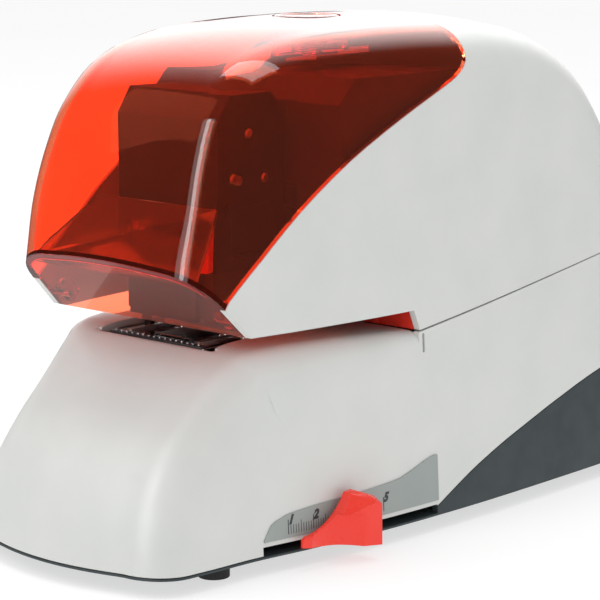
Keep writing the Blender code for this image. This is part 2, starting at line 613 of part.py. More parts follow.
def make_head(finish, head_axis):
    """The swinging head: a channel with a hollow tower, the cassette with its staples, the driver."""
    side = [(-56.5, 91), (-56.5, 139), (-51, 147), (-32, 147), (-26, 139), (-26, 110), (14, 95), (84, 95),
            (89, 91), (89, 81), (84, 77.5), (-26, 77.5), (-26, 91)]
    inner = [(-54.5, 70), (-54.5, 138), (-50, 144.6), (-33, 144.6), (-28.2, 138), (-28.2, 92.8), (41, 92.8),
             (41, 70)]
    rear = [(59, 70), (59, 92.8), (95, 92.8), (95, 70)]
    head = add("stapling_head", prism(side, -22, 22), finish["dark_steel"], head_axis)
    join(head, box((-15, 15), (-58.4, -56.2), (76.2, 98)))
    cut(head, prism(inner, -19.8, 19.8), prism(rear, -19.8, 19.8))
    cut(head, rod(PIVOT_SHAFT, 3.1, -23, 23), box((-6.4, 6.4), (-56.4, -54), (70, 126)),
        *[box((low, low + 5.0), (-58, -52), (99.0, 104.0)) for low in (-17.5, 9.5)],
        *[box((side * 21 - 3, side * 21 + 3), (-51, -31), (95.5, 112)) for side in (1, -1)])
    ears = [box((x - 1.5, x + 1.5), (24.5, 35.5), (94, 103.6)) for x in (6.5, -6.5)]
    join(head, *ears)
    cut(head, rod(ROLLER_AT, 1.6, -9, 9))
    add("roller_pin", rod(ROLLER_AT, 1.5, -8.4, 8.4), finish["steel"], head_axis)
    add("cam_roller", tube(ROLLER_AT, ROLLER_RADIUS, 1.6, -3.6, 3.6, "X", 28), finish["steel"], head_axis)

    cassette = add("staple_cassette", box((-19.4, 19.4), (-55, -29.5), (77.0, 90.4)), finish["black"], head_axis)
    cut(cassette, box((-6.6, 6.6), (-56, -32), (80, 88.4)),
        *[box((x - 1, x + 1), (-56, -28), (88, 92)) for x in (-13, 13)])
    staple = [(-6.2, 80.3), (-6.2, 87.6), (6.2, 87.6), (6.2, 80.3), (5.6, 80.3), (5.6, 87.0), (-5.6, 87.0),
              (-5.6, 80.3)]
    add("staple_stack", prism(staple, -54.6, -38, "Y"), finish["chrome"], head_axis)
    add("staple_pusher", box((-5.2, 5.2), (-37.6, -32.4), (80.4, 86.6)), finish["dark_steel"], head_axis)
    lever = prism(rounded([(15.8, 91.5), (21.6, 91.5), (21.6, 106), (17.5, 106)], 1.5, 3), -60.0, -56.9, "Y")
    add("cassette_lever", lever, finish["red"], head_axis)

    driver_axis = axis_empty("driver_axis", head_axis, (0, 0, 0))
    driver = add("driver_blade", box((-6, 6), (-56.1, -55.4), (82.5, 121)), finish["chrome"], driver_axis)
    join(driver, box((-10, 10), (-54.2, -48), (113.5, 119.5)), box((-5.7, 5.7), (-55.7, -54), (114, 119)))


def cam_outline():
    """The cam: a rise in proportion to its turn, from the foot of the roller onwards, and a quick return."""
    down = math.radians(-90)
    steps = 30
    outline = []
    for k in range(steps + 1):
        share = k / steps
        outline.append((-CAM_TURN * share, CAM_START_RADIUS + CAM_RISE * share))
    for k in range(1, 6):
        outline.append((-CAM_TURN - math.radians(10 * k), CAM_START_RADIUS + CAM_RISE * (1 - k / 5)))
    for k in range(1, 16):
        outline.append((-CAM_TURN - math.radians(50 + 10 * k), CAM_START_RADIUS))
    return [(CAM_SHAFT[0] + radius * math.cos(down + turn), CAM_SHAFT[1] + radius * math.sin(down + turn))
            for turn, radius in outline]


def gear(teeth, module, phase, centre, low, high):
    outline = [(centre[0] + y, centre[1] + z) for y, z in gear_outline(teeth, module, phase)]
    return prism(outline, low, high)


def make_drive(finish, chassis, cam_axis, idler_axis, pinion_axis):
    """Motor, two gear stages and the cam that presses the head down."""
    shaft = add("camshaft", rod(CAM_SHAFT, 3.0, -31, 36.5), finish["steel"], cam_axis)
    join(shaft, prism(cam_outline(), -3.5, 3.5))
    slow = add("cam_gear", gear(SLOW_TEETH, SLOW_MODULE, 0.0, CAM_SHAFT, 30.0, 35.0), finish["nylon"], cam_axis)
    cut(slow, rod(CAM_SHAFT, 3.1, 29, 36), *[rod(spot, 3.0, 29, 36, "X", 12) for spot in ring_points(CAM_SHAFT, 10.5, 4)])

    slow_pinion_phase = meshing_phase(SLOW_LINE, SLOW_PINION_TEETH, SLOW_TEETH, 0.0)
    idler = add("idler_gear", gear(FAST_TEETH, FAST_MODULE, 0.0, SECOND_SHAFT, 36.0, 39.0), finish["nylon"],
                idler_axis)
    join(idler, gear(SLOW_PINION_TEETH, SLOW_MODULE, slow_pinion_phase, SECOND_SHAFT, 30.0, 36.5))
    cut(idler, rod(SECOND_SHAFT, 2.1, 29, 40))

    motor_phase = meshing_phase(FAST_LINE, MOTOR_PINION_TEETH, FAST_TEETH, 0.0)
    pinion = add("motor_pinion", gear(MOTOR_PINION_TEETH, FAST_MODULE, motor_phase, MOTOR_SHAFT, 36.0, 39.0),
                 finish["steel"], pinion_axis)
    join(pinion, rod(MOTOR_SHAFT, 1.5, 20.5, 39.6))
    motor = add("drive_motor", rod(MOTOR_SHAFT, MOTOR_RADIUS, -22, 23, "X", 32), finish["steel"], chassis)
    join(motor, rod(MOTOR_SHAFT, 5.0, 22, 26.2))
    cut(motor, rod(MOTOR_SHAFT, 1.6, 20.0, 27))
    add("head_return_spring", helix(6.0, 0.8, 5, 60.8, 77.2, (0, 50)), finish["steel"], chassis)


def make_stop(finish, chassis, stop_axis):
    """Side knob, its carriage under the frame and the two paper stops."""
    carriage = add("stop_carriage", box((-26, 29.7), (-47, -28), (9, 14.7)), finish["black"], stop_axis)
    join(carriage, box((20, 29.7), (-39, -28), (7.3, 12)))
    cut(carriage, rod((0, 12), 2.1, -48, -27, "Y", 16))
    for name, side in (("paper_stop_right", 1), ("paper_stop_left", -1)):
        low, high = sorted((side * 22.8, side * 25.4))
        add(name, box((low, high), (STOP_Y - 1.2, STOP_Y + 1.2), (15.0, 92.0)), finish["black"], stop_axis)
    rail = add("carriage_rail", rod((0, 12), 2.0, -70, 6, "Y", 16), finish["steel"], chassis)
    join(rail, *[box((-4, 4), (y, y + 5), (6.8, 15)) for y in (-72, 3)])

    def wall(y):
        return 54.1 + (y + 55.7) * 0.064

    hull = [(wall(-53.2), -53.2, 7.6), (wall(-53.2), -53.2, 10.2), (55.2, -53.2, 7.6), (55.2, -53.2, 10.2),
            (wall(-35), -35.0, 22.3), (57.6, -35.0, 22.3), (wall(-31.5), -31.5, 22.7), (58.2, -32.0, 22.7),
            (62.6, -29.5, 21.2), (64.6, -28.6, 19.8), (wall(-26), -26.0, 20.7), (61.0, -26.0, 20.4),
            (64.4, -26.0, 18.4), (64.6, -26.0, 5.0), (wall(-26), -26.0, 6.2), (62.8, -32.0, 5.4),
            (58.6, -37.0, 6.0), (57.2, -46.0, 6.8), (wall(-46.5), -46.5, 6.9)]
    body = bmesh.new()
    for point in hull:
        body.verts.new(point)
    bmesh.ops.convex_hull(body, input=body.verts)
    knob = add("depth_knob", body, finish["red"], stop_axis)
    cut(knob, rod((-53.5, 32.6), 21.6, 50, 70, "X", 64))
    cut(knob, rod((72.0, -46.0), 16.2, 0, 16.4, "Z", 48))
    join(knob, box((30, 58), (-38, -28), (7.3, 8.7)))


def make_electrics(finish, chassis, rocker_axis, tray):
    board = add("circuit_board", box((-22, 22), (20, 62), (22, 23.6)), finish["board"], chassis)
    join(board, *[box(x, y, (23, z)) for x, y, z in (((-18, -6), (24, 36), 31), ((2, 16), (26, 34), 28),
                                                     ((-15, 15), (44, 50), 32))])
    core = add("transformer", box((-20, 20), (80, 112), (16, 42)), finish["dark_steel"], chassis)
    join(core, box((-13, 13), (75, 117), (20, 38)))
    cut(tray, *[box(x, (130, 145), z) for x, z in ((INLET_X, INLET_Z), (SWITCH_X, SWITCH_Z))])

    inlet = add("mains_inlet", inset_box(INLET_X, (120, 141.4), INLET_Z, GAP), finish["black"], chassis)
    cut(inlet, inset_box(INLET_X, (126, 143), INLET_Z, 2.2))
    join(inlet, *[box((x - 1, x + 1), (125, 138), (z - 2, z + 2)) for x, z in ((-32, 28), (-25, 24), (-18, 28))])
    frame = add("switch_frame", inset_box(SWITCH_X, (124, 141.2), SWITCH_Z, GAP), finish["black"], chassis)
    cut(frame, inset_box(SWITCH_X, (128, 143), SWITCH_Z, 1.6))
    face = [(-5.0, -7.3), (2.6, -7.6), (4.4, 0.0), (2.6, 7.6), (-5.0, 7.3)]
    tilt = Matrix.Rotation(-ROCKER_TILT, 2)
    outline = [(tilt @ Vector(point)).to_tuple() for point in face]
    outline = [(ROCKER_AT[0] + y, ROCKER_AT[1] + z) for y, z in outline]
    add("power_rocker", prism(outline, SWITCH_X[0] + 2.0, SWITCH_X[1] - 2.0), finish["red"], rocker_axis)


def inset_box(x, y, z, inset):
    return box((x[0] + inset, x[1] - inset), y, (z[0] + inset, z[1] - inset))


def make_small_parts(finish, chassis):
    for name, x, y in (("foot_front_right", 37.5, -75), ("foot_front_left", -37.5, -75), ("foot_rear_right", 37.5, 112),
                       ("foot_rear_left", -37.5, 112)):
        add(name, rod((x, y), 5.0, 0.0, FLOOR_Z - GAP, "Z", 24), finish["rubber"], chassis)
    columns = [(y, 10.5, high) for y, high in LABEL_TOP]
    add("scale_label", side_sheet(columns, 0.15, 0.45), finish["label"], chassis)


def shade(piece):
    """Smooth shading that keeps the real edges sharp."""
    piece.data.shade_smooth()
    piece.data.set_sharp_from_angle(angle=math.radians(35))


def main():
    clear_scene()
    finish = make_finishes()
    chassis = axis_empty("chassis", None, (0, 0, 0))
    chassis.location = Vector((*FRAME_SHIFT, 0)) * MM
    cover_axis = axis_empty("cover_axis", chassis, (0, *COVER_PIVOT))
    head_axis = axis_empty("head_axis", chassis, (0, *PIVOT_SHAFT))
    cam_axis = axis_empty("cam_axis", chassis, (0, *CAM_SHAFT))
    idler_axis = axis_empty("idler_axis", chassis, (0, *SECOND_SHAFT))
    pinion_axis = axis_empty("pinion_axis", chassis, (0, *MOTOR_SHAFT))
    stop_axis = axis_empty("stop_axis", chassis, (0, 0, 0))
    rocker_axis = axis_empty("rocker_axis", chassis, (0, *ROCKER_AT))
    tray, cover = make_housing(finish, chassis, cover_axis)
    make_cover_parts(finish, cover, cover_axis, chassis)
    make_frame(finish, chassis)
    make_head(finish, head_axis)
    make_drive(finish, chassis, cam_axis, idler_axis, pinion_axis)
    make_stop(finish, chassis, stop_axis)
    make_electrics(finish, chassis, rocker_axis, tray)
    make_small_parts(finish, chassis)
    for piece in bpy.data.objects:
        if piece.type == "MESH" and not piece.hide_render:
            shade(piece)


main()
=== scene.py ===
import json
import math

import bmesh
import bpy
from mathutils import Matrix, Vector


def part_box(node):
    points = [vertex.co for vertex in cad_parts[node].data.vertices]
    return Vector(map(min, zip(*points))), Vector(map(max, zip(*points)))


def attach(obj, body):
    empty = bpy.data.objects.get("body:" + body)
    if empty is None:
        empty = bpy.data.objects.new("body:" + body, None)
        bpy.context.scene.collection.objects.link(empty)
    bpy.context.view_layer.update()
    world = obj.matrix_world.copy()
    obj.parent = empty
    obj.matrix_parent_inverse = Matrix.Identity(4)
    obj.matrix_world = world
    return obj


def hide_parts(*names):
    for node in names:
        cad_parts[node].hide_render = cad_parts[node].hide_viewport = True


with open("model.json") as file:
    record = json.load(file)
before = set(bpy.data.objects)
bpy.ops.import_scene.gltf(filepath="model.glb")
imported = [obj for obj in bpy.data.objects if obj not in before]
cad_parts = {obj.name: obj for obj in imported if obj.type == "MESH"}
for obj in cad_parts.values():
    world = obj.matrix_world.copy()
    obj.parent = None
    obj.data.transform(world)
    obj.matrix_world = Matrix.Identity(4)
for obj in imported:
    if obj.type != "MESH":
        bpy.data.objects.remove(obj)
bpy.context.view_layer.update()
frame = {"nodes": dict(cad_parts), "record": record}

MM = 0.001
GAP = 0.3
HALF_ROOT = math.sqrt(0.5)

# ---- the housing's form, as in the mechanical model --------------------------------------------------
WALL = 2.4                       # thickness of the moulded shells
FLOOR_Z = 5.2                    # underside of the base tray
TRAY_Z = 6.1                     # where the white shell meets the tray along the front
TABLE_Z = 67.0                   # floor of the recess that the anvil plate lies in
HOOD_Z = 75.0                    # lower edge of the hood over the paper throat
THROAT_END_Y = 6.0               # back of the paper throat
SEAM = [(7.5, 68.0), (150.0, 86.4)]   # joint line between hood and base (y, z)
WIDTH_Z = 75.0
WIDTH_POINTS = [(-125, 39.0), (-90, 43.0), (-68, 44.7), (-47, 47.8), (-20, 50.5), (5, 52.0),
                (40, 52.6), (90, 51.5), (145, 49.5)]
DRAFT_LOW = 0.055
DRAFT_HIGH = 0.05
CROWN_X = 40.0
CROWN_STEPS, ROUND_STEPS, SIDE_STEPS = 8, 9, 8
HOOD_OUTLINE = [(-92.0, 60.0, 18, 12, 3.9), (-90.3, 80.0, 18, 12, 3.9), (-88.2, 97.5, 18, 12, 3.9),
                (-84.5, 114.0, 14, 10, 3.9), (-79.0, 131.0, 14, 11, 3.9), (-71.0, 146.0, 15, 13, 3.7),
                (-56.0, 159.0, 17, 15, 3.6), (-32.0, 165.8, 18, 15, 3.6), (0.0, 168.0, 18, 14, 3.6),
                (32.0, 168.0, 18, 14, 3.6), (64.0, 166.0, 18, 14, 3.6), (88.0, 159.5, 18, 15, 3.6),
                (107.0, 148.0, 17, 16, 3.6), (121.0, 132.5, 16, 16, 3.6), (130.0, 115.0, 15, 15, 3.3),
                (135.5, 95.0, 15, 15, 3.0), (138.0, 75.0, 15, 15, 3.0), (139.0, 60.0, 15, 15, 3.0)]
FRONT_OUTLINE = [(-112.5, 0.0, 14, 12, 8.9), (-112.0, 8.0, 14, 12, 8.9), (-109.5, 20.0, 15, 13, 8.9),
                 (-104.0, 33.0, 16, 15, 8.6), (-94.0, 46.0, 17, 18, 7.5), (-80.0, 58.5, 15, 20, 5.0),
                 (-68.0, 66.5, 12, 19, 2.0), (-58.0, 69.6, 9, 17, 0.3), (-35.0, 69.6, 8, 13, 0.0),
                 (-10.0, 68.6, 7, 9, 0.0), (6.0, 67.8, 5, 4, 0.0)]
TOP_OUTLINE = [(6.5, 97.0, 5, 4, 0.0), (60.0, 99.0, 6, 6, 0.0), (118.0, 99.0, 12, 8, 0.0)]
REAR_OUTLINE = [(136.5, 99.0, 15, 15, 3.0), (138.2, 75.0, 15, 15, 3.0), (139.8, 50.0, 15, 15, 3.0),
                (140.5, 25.0, 15, 15, 3.0), (140.5, 0.0, 15, 15, 3.0)]
HOOD_SKIN = [(HOOD_OUTLINE, [(-70.0, 60.0), (0.0, 60.0), (120.0, 60.0)], 72)]
BASE_SKIN = [(FRONT_OUTLINE, [(-92.0, 0.0), (6.0, 0.0)], 51), (TOP_OUTLINE, [(6.5, 0.0), (98.0, 0.0)], 8),
             (REAR_OUTLINE, [(104.0, 0.0), (118.0, 0.0)], 12)]
CHIN_Y = -65.7                   # lower edge of the chin; from there it rises forwards at 45 degrees
COVER_PIVOT = (-67.5, 81.0)
TIP_RADIUS = 8.9
COVER_EDGE = [(-60.0, 98.9), (-44.5, 112.0), (-23.0, 126.0), (0.0, 137.3), (20.0, 145.6), (28.5, 149.4),
              (33.0, 153.2), (34.5, 158.0), (34.8, 175.0)]
COVER_EDGE_STEPS = 24
TRAY_EDGE = [(11.9, 6.1), (12.0, 8.2), (29.4, 16.6), (46.1, 23.0), (63.6, 28.4), (81.8, 33.6), (107.1, 39.8),
             (150.0, 47.5)]
TRAY_EDGE_STEPS = 24
SLOT_Y = (-64.5, 12.4)
SLOT_Z = (6.4, 9.0)
BUTTON_AT = (0.0, 9.0)
BUTTON_RADIUS = 11.2
INLET_X, INLET_Z = (-38.0, -12.0), (17.0, 37.0)
SWITCH_X, SWITCH_Z = (17.5, 33.5), (17.0, 37.0)
LABEL_TOP = [(-64.2, 11.2), (-62.5, 13.8), (-60.7, 15.9), (-57.0, 17.3), (-53.5, 18.2), (-45.0, 19.0),
             (-36.9, 19.5), (-22.0, 20.0), (-7.9, 20.9), (-3.0, 21.9), (1.8, 23.4), (6.0, 24.8), (10.4, 25.9),
             (12.6, 25.8)]
LABEL_FOOT_Z = 10.5
PIVOT_SHAFT_Y = 80.0

pivot_low, pivot_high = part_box("head_pivot_shaft")
SHIFT = Vector(((pivot_low.x + pivot_high.x) / 2, (pivot_low.y + pivot_high.y) / 2 - PIVOT_SHAFT_Y * MM, 0.0))


def node_box(name):
    """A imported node's box as (low, high) in millimetres of the design frame."""
    low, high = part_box(name)
    return (low - SHIFT) / MM, (high - SHIFT) / MM


# ---- meshes ---------------------------------------------------------------------------------------------
def place(mesh):
    """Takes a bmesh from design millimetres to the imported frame's metres, faces outwards."""
    bmesh.ops.recalc_face_normals(mesh, faces=mesh.faces)
    if mesh.calc_volume(signed=True) < 0:
        bmesh.ops.reverse_faces(mesh, faces=mesh.faces)
    bmesh.ops.scale(mesh, vec=(MM, MM, MM), verts=mesh.verts)
    bmesh.ops.translate(mesh, vec=SHIFT, verts=mesh.verts)
    return mesh


def plain_object(name, mesh):
    data = bpy.data.meshes.new(name)
    place(mesh).to_mesh(data)
    mesh.free()
    made = bpy.data.objects.new(name, data)
    bpy.context.scene.collection.objects.link(made)
    return made


def settle(thing):
    """Applies the object's modifiers."""
    graph = bpy.context.evaluated_depsgraph_get()
    fixed = bpy.data.meshes.new_from_object(thing.evaluated_get(graph), depsgraph=graph)
    thing.modifiers.clear()
    thing.data = fixed
    return thing


def combine(target, mesh, operation):
    """Boolean with a bmesh, or with an object that is used up."""
    other = mesh if isinstance(mesh, bpy.types.Object) else plain_object(target.name + "_tool", mesh)
    step = target.modifiers.new("combine", "BOOLEAN")
    step.operation = operation
    step.object = other
    step.solver = "EXACT"
    settle(target)
    bpy.data.objects.remove(other)
    return target


def together(*meshes):
    """Several bmeshes as one."""
    whole = bmesh.new()
    for mesh in meshes:
        made = {vert: whole.verts.new(vert.co) for vert in mesh.verts}
        for face in mesh.faces:
            whole.faces.new([made[vert] for vert in face.verts])
        mesh.free()
    return whole


def finished(thing, finish, body, slot, stands_for=(), sharp=32, bevel=0.0, segments=2):
    """Gives a piece its finish, body and smooth shading; bevel is in millimetres."""
    thing.data.materials.clear()
    thing.data.materials.append(finish)
    if bevel:
        step = thing.modifiers.new("edges", "BEVEL")
        step.width = bevel * MM
        step.segments = segments
        step.limit_method = "ANGLE"
        step.angle_limit = math.radians(40)
        step.harden_normals = False
        settle(thing)
    thing.data.shade_smooth()
    thing.data.set_sharp_from_angle(angle=math.radians(sharp))
    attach(thing, body)
    if stands_for:
        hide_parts(*stands_for)
    return thing


def piece(name, mesh, finish, body, slot, **more):
    return finished(plain_object(name, mesh), finish, body, slot, **more)


def box(x, y, z):
    mesh = bmesh.new()
    bmesh.ops.create_cube(mesh, size=1.0)
    bmesh.ops.scale(mesh, vec=(x[1] - x[0], y[1] - y[0], z[1] - z[0]), verts=mesh.verts)
    bmesh.ops.translate(mesh, vec=((x[0] + x[1]) / 2, (y[0] + y[1]) / 2, (z[0] + z[1]) / 2), verts=mesh.verts)
    return mesh


AXES = {"X": lambda a, b, h: (h, a, b), "Y": lambda a, b, h: (a, h, b), "Z": lambda a, b, h: (a, b, h)}


def prism(outline, low, high, axis="X"):
    """An outline extruded from low to high.  Along X the outline is (y, z); along Y (x, z); along Z (x, y)."""
    return loft([outline, outline], [low, high], axis)


def loft(outlines, heights, axis="X"):
    """Outlines with the same number of points, joined one to the next."""
    mesh = bmesh.new()
    rings = [[mesh.verts.new(AXES[axis](a, b, h)) for a, b in outline]
             for outline, h in zip(outlines, heights)]
    mesh.faces.new(rings[0])
    mesh.faces.new(rings[-1])
    count = len(rings[0])
    for low, high in zip(rings, rings[1:]):
        for i in range(count):
            j = (i + 1) % count
            mesh.faces.new((low[i], low[j], high[j], high[i]))
    return mesh


def ring_points(centre, radius, sides, turn=0.0):
    return [(centre[0] + radius * math.cos(turn + math.tau * i / sides),
             centre[1] + radius * math.sin(turn + math.tau * i / sides)) for i in range(sides)]


def turned(centre, profile, axis="X", sides=40):
    """A turned piece: its profile is (radius, height) from one end to the other."""
    return loft([ring_points(centre, radius, sides) for radius, _ in profile], [h for _, h in profile], axis)


def rounded(corners, radius, steps=5):
    """A closed outline with its corners rounded."""
    made = []
    count = len(corners)
    for i in range(count):
        here = Vector(corners[i])
        back = Vector(corners[i - 1]) - here
        ahead = Vector(corners[(i + 1) % count]) - here
        reach = min(radius / math.tan(back.angle(ahead) / 2), back.length * 0.45, ahead.length * 0.45)
        start, end = here + back.normalized() * reach, here + ahead.normalized() * reach
        for k in range(steps + 1):
            t = k / steps
            made.append(tuple(start * (1 - t) ** 2 + here * 2 * t * (1 - t) + end * t ** 2))
    return made


def plate(a, b, radius):
    return rounded([(a[0], b[0]), (a[1], b[0]), (a[1], b[1]), (a[0], b[1])], radius)


def wire(points, radius, sides=8):
    """A round wire along a smooth line through the points."""
    line = [Vector(smooth_at(points, (len(points) - 1) * k / (8 * (len(points) - 1))))
            for k in range(8 * (len(points) - 1) + 1)]
    mesh = bmesh.new()
    rings = []
    up = Vector((0.31, 0.17, 0.93)).normalized()
    for i, spot in enumerate(line):
        run = (line[min(i + 1, len(line) - 1)] - line[max(i - 1, 0)]).normalized()
        across = run.cross(up).normalized()
        over = across.cross(run)
        rings.append([mesh.verts.new(spot + (across * math.cos(math.tau * k / sides)
                                             + over * math.sin(math.tau * k / sides)) * radius)
                      for k in range(sides)])
    for low, high in zip(rings, rings[1:]):
        for k in range(sides):
            j = (k + 1) % sides
            mesh.faces.new((low[k], low[j], high[j], high[k]))
    mesh.faces.new(rings[0])
    mesh.faces.new(rings[-1])
    return mesh


# ---- the housing's skin ---------------------------------------------------------------------------------
def smooth_at(points, place_on):
    """A smooth curve through points; place_on runs from 0 to the last point's index."""
    last = len(points) - 1
    i = min(int(place_on), last - 1)
    t = place_on - i
    p0, p1, p2, p3 = (points[min(max(k, 0), last)] for k in (i - 1, i, i + 1, i + 2))
    return [0.5 * (2 * b + (c - a) * t + (2 * a - 5 * b + 4 * c - d) * t * t + (3 * b - a - 3 * c + d) * t ** 3)
            for a, b, c, d in zip(p0, p1, p2, p3)]


def refined(line, steps):
    """The smooth curve through a line of points, in finer steps."""
    return [tuple(smooth_at(line, (len(line) - 1) * k / steps)) for k in range(steps + 1)]


def half_width(y, z):
    """Half the width of the outer skin at a point of the side view."""
    y = min(max(y, WIDTH_POINTS[0][0]), WIDTH_POINTS[-1][0])
    i = max(k for k in range(len(WIDTH_POINTS) - 1) if WIDTH_POINTS[k][0] <= y)
    t = (y - WIDTH_POINTS[i][0]) / (WIDTH_POINTS[i + 1][0] - WIDTH_POINTS[i][0])
    wide = smooth_at(WIDTH_POINTS, i + t)[1]
    return wide + (WIDTH_Z - z) * (DRAFT_LOW if z < WIDTH_Z else DRAFT_HIGH)


def rib_stations(sections, inset):
    """Where each rib of a skin starts, its direction inwards, its corner roundings and where it ends."""
    stations = []
    for outline, heart, count in sections:
        last = len(outline) - 1
        for i in range(count + 1):
            spot = last * i / count
            y, z, across_radius, down_radius, crown = smooth_at(outline, spot)
            ahead = smooth_at(outline, min(spot + 0.05, last))
            behind = smooth_at(outline, max(spot - 0.05, 0))
            run = Vector((ahead[0] - behind[0], ahead[1] - behind[1])).normalized()
            inward = Vector((run.y, -run.x))
            goal = Vector(smooth_at(heart, (len(heart) - 1) * i / count))
            stations.append([Vector((y, z)) + inward * inset, inward, across_radius, down_radius, crown, goal])
    for end in (0, -1):
        stations[end][1] = (stations[end][-1] - stations[end][0]).normalized()
    return stations


def rib(start, inward, across_radius, down_radius, crown, goal, inset):
    """One rib as (x, side-view point): over the crown, round the corner, down the side wall."""
    wide = half_width(start.x, start.y) - inset
    round_x = max(across_radius - inset, 2.0)
    round_down = max(down_radius - inset, 2.0)
    flat = wide - round_x
    points = []
    for k in range(CROWN_STEPS):
        x = flat * k / CROWN_STEPS
        points.append((x, start + inward * crown * (x / CROWN_X) ** 2))
    for k in range(ROUND_STEPS + 1):
        turn = math.pi / 2 * k / ROUND_STEPS
        spot = start + inward * (crown * (flat / CROWN_X) ** 2 + round_down * (1 - math.cos(turn)))
        points.append((half_width(spot.x, spot.y) - inset - round_x * (1 - math.sin(turn)), spot))
    corner = points[-1][1]
    for k in range(1, SIDE_STEPS + 1):
        spot = corner.lerp(goal, k / SIDE_STEPS)
        points.append((half_width(spot.x, spot.y) - inset, spot))
    return points


def skin(sections, inset=0.0):
    """The closed outer form of a housing, or its inner form when inset by the wall thickness."""
    mesh = bmesh.new()
    right, left = [], []
    for station in rib_stations(sections, inset):
        points = rib(*station, inset)
        right.append([mesh.verts.new((x, p.x, p.y)) for x, p in points])
        left.append([right[-1][0]] + [mesh.verts.new((-x, p.x, p.y)) for x, p in points[1:]])
    for i in range(len(right) - 1):
        for k in range(len(right[0]) - 1):
            mesh.faces.new((right[i][k], right[i][k + 1], right[i + 1][k + 1], right[i + 1][k]))
            mesh.faces.new((left[i + 1][k], left[i + 1][k + 1], left[i][k + 1], left[i][k]))
        mesh.faces.new((right[i][-1], left[i][-1], left[i + 1][-1], right[i + 1][-1]))
    for end in (0, -1):
        mesh.faces.new(right[end] + left[end][:0:-1])
    return mesh


def offset_line(line, offset):
    """An open line of (y, z) points moved sideways, to the left of its run, by the offset."""
    moved = []
    for i, point in enumerate(line):
        run = (Vector(line[min(i + 1, len(line) - 1)]) - Vector(line[max(i - 1, 0)])).normalized()
        moved.append((point[0] - run.y * offset, point[1] + run.x * offset))
    return moved


def between_walls(outline, inset):
    """A filling across X whose ends stay `inset` inside the outer skin."""
    mesh = bmesh.new()
    rings = [[mesh.verts.new((side * (half_width(y, z) - inset), y, z)) for y, z in outline]
             for side in (1, -1)]
    mesh.faces.new(rings[0])
    mesh.faces.new(rings[1])
    for i in range(len(outline)):
        j = (i + 1) % len(outline)
        mesh.faces.new((rings[0][i], rings[0][j], rings[1][j], rings[1][i]))
    bmesh.ops.triangulate(mesh, faces=mesh.faces)
    return mesh


def below_chin(run, inward):
    """A point of the side view, `run` up the chin from its lower edge and `inward` of its plane."""
    return (CHIN_Y + (inward - run) * HALF_ROOT, HOOD_Z + (inward + run) * HALF_ROOT)


def cover_region(grown):
    """Side view of what belongs to the front cover: from the pivot's arc up along the joint line."""
    slope = math.atan2(COVER_EDGE[1][1] - COVER_EDGE[0][1], COVER_EDGE[1][0] - COVER_EDGE[0][0])
    radius = TIP_RADIUS - grown
    arc = []
    arc_steps = 15
    for k in range(arc_steps + 1):
        turn = slope + math.radians(90 + 50 * (1 - k / arc_steps))
        arc.append((COVER_PIVOT[0] + radius * math.cos(turn), COVER_PIVOT[1] + radius * math.sin(turn)))
    edge = offset_line(refined(COVER_EDGE, COVER_EDGE_STEPS), -grown)
    return arc + edge + [(edge[-1][0], 220), (-200, 220), (-200, arc[0][1])]


def chin_filling(inset):
    """The zone of the chin wall between the side panels."""
    runs = [-4 + 2 * k for k in range(23)]
    return between_walls([below_chin(run, -3) for run in runs]
                         + [below_chin(run, WALL + 0.8) for run in reversed(runs)], inset)


def cover_zone(grown, inset):
    """A helper body round all that belongs to the front cover."""
    zone = plain_object("zone", prism(cover_region(grown), -72, 72))
    return combine(zone, chin_filling(inset), "UNION")


def hood_shell(name):
    """The whole hood as a shell with a chin wall and an open underside."""
    far = 125.0
    outer = [(CHIN_Y, HOOD_Z), (THROAT_END_Y - 2, HOOD_Z), (THROAT_END_Y + 0.5, SEAM[0][1] + 0.2), SEAM[1],
             (150, 200), (CHIN_Y - far, HOOD_Z + far)]
    inner_start = CHIN_Y + WALL / HALF_ROOT
    inner = [(inner_start, 55), (inner_start, HOOD_Z), (inner_start - far, HOOD_Z + far), (150, HOOD_Z + far),
             (150, 55)]
    shell = combine(plain_object(name, skin(HOOD_SKIN)), prism(outer, -70, 70), "INTERSECT")
    hollow = plain_object(name + "_hollow", skin(HOOD_SKIN, WALL))
    combine(hollow, prism(inner, -71, 71), "INTERSECT")
    return combine(shell, hollow, "DIFFERENCE")


def base_shell(name, region, floor):
    """The part of the base skin inside a side-view region, hollow above the floor height."""
    shell = combine(plain_object(name, skin(BASE_SKIN)), prism(region, -70, 70), "INTERSECT")
    hollow = plain_object(name + "_hollow", skin(BASE_SKIN, WALL))
    if floor is not None:
        combine(hollow, box((-71, 71), (-130, 160), (floor, 120)), "INTERSECT")
    return combine(shell, hollow, "DIFFERENCE")


def on_wall(y, z, offset, side=1):
    """A point on the side wall, `offset` outside its skin."""
    return (side * (half_width(y, z) + offset), y, z)


def side_sheet(columns, inner, outer, rows=8):
    """A thin sheet over the +X side wall; each column is (y, low z, high z)."""
    mesh = bmesh.new()
    grids = [[[mesh.verts.new(on_wall(y, low + (high - low) * k / rows, offset)) for k in range(rows + 1)]
              for y, low, high in columns] for offset in (inner, outer)]
    last = len(columns) - 1
    for grid in grids:
        for i in range(last):
            for k in range(rows):
                mesh.faces.new((grid[i][k], grid[i + 1][k], grid[i + 1][k + 1], grid[i][k + 1]))
    low, high = grids
    for i in range(last):
        for k in (0, rows):
            mesh.faces.new((low[i][k], low[i + 1][k], high[i + 1][k], high[i][k]))
    for k in range(rows):
        for i in (0, last):
            mesh.faces.new((low[i][k], low[i][k + 1], high[i][k + 1], high[i][k]))
    return mesh


# ---- finishes -------------------------------------------------------------------------------------------
SEEN_THROUGH = 1.8                                         # how bright the studio is through clear plastic
LIGHT_INSIDE = 0.25                                        # and how much of its light falls inside


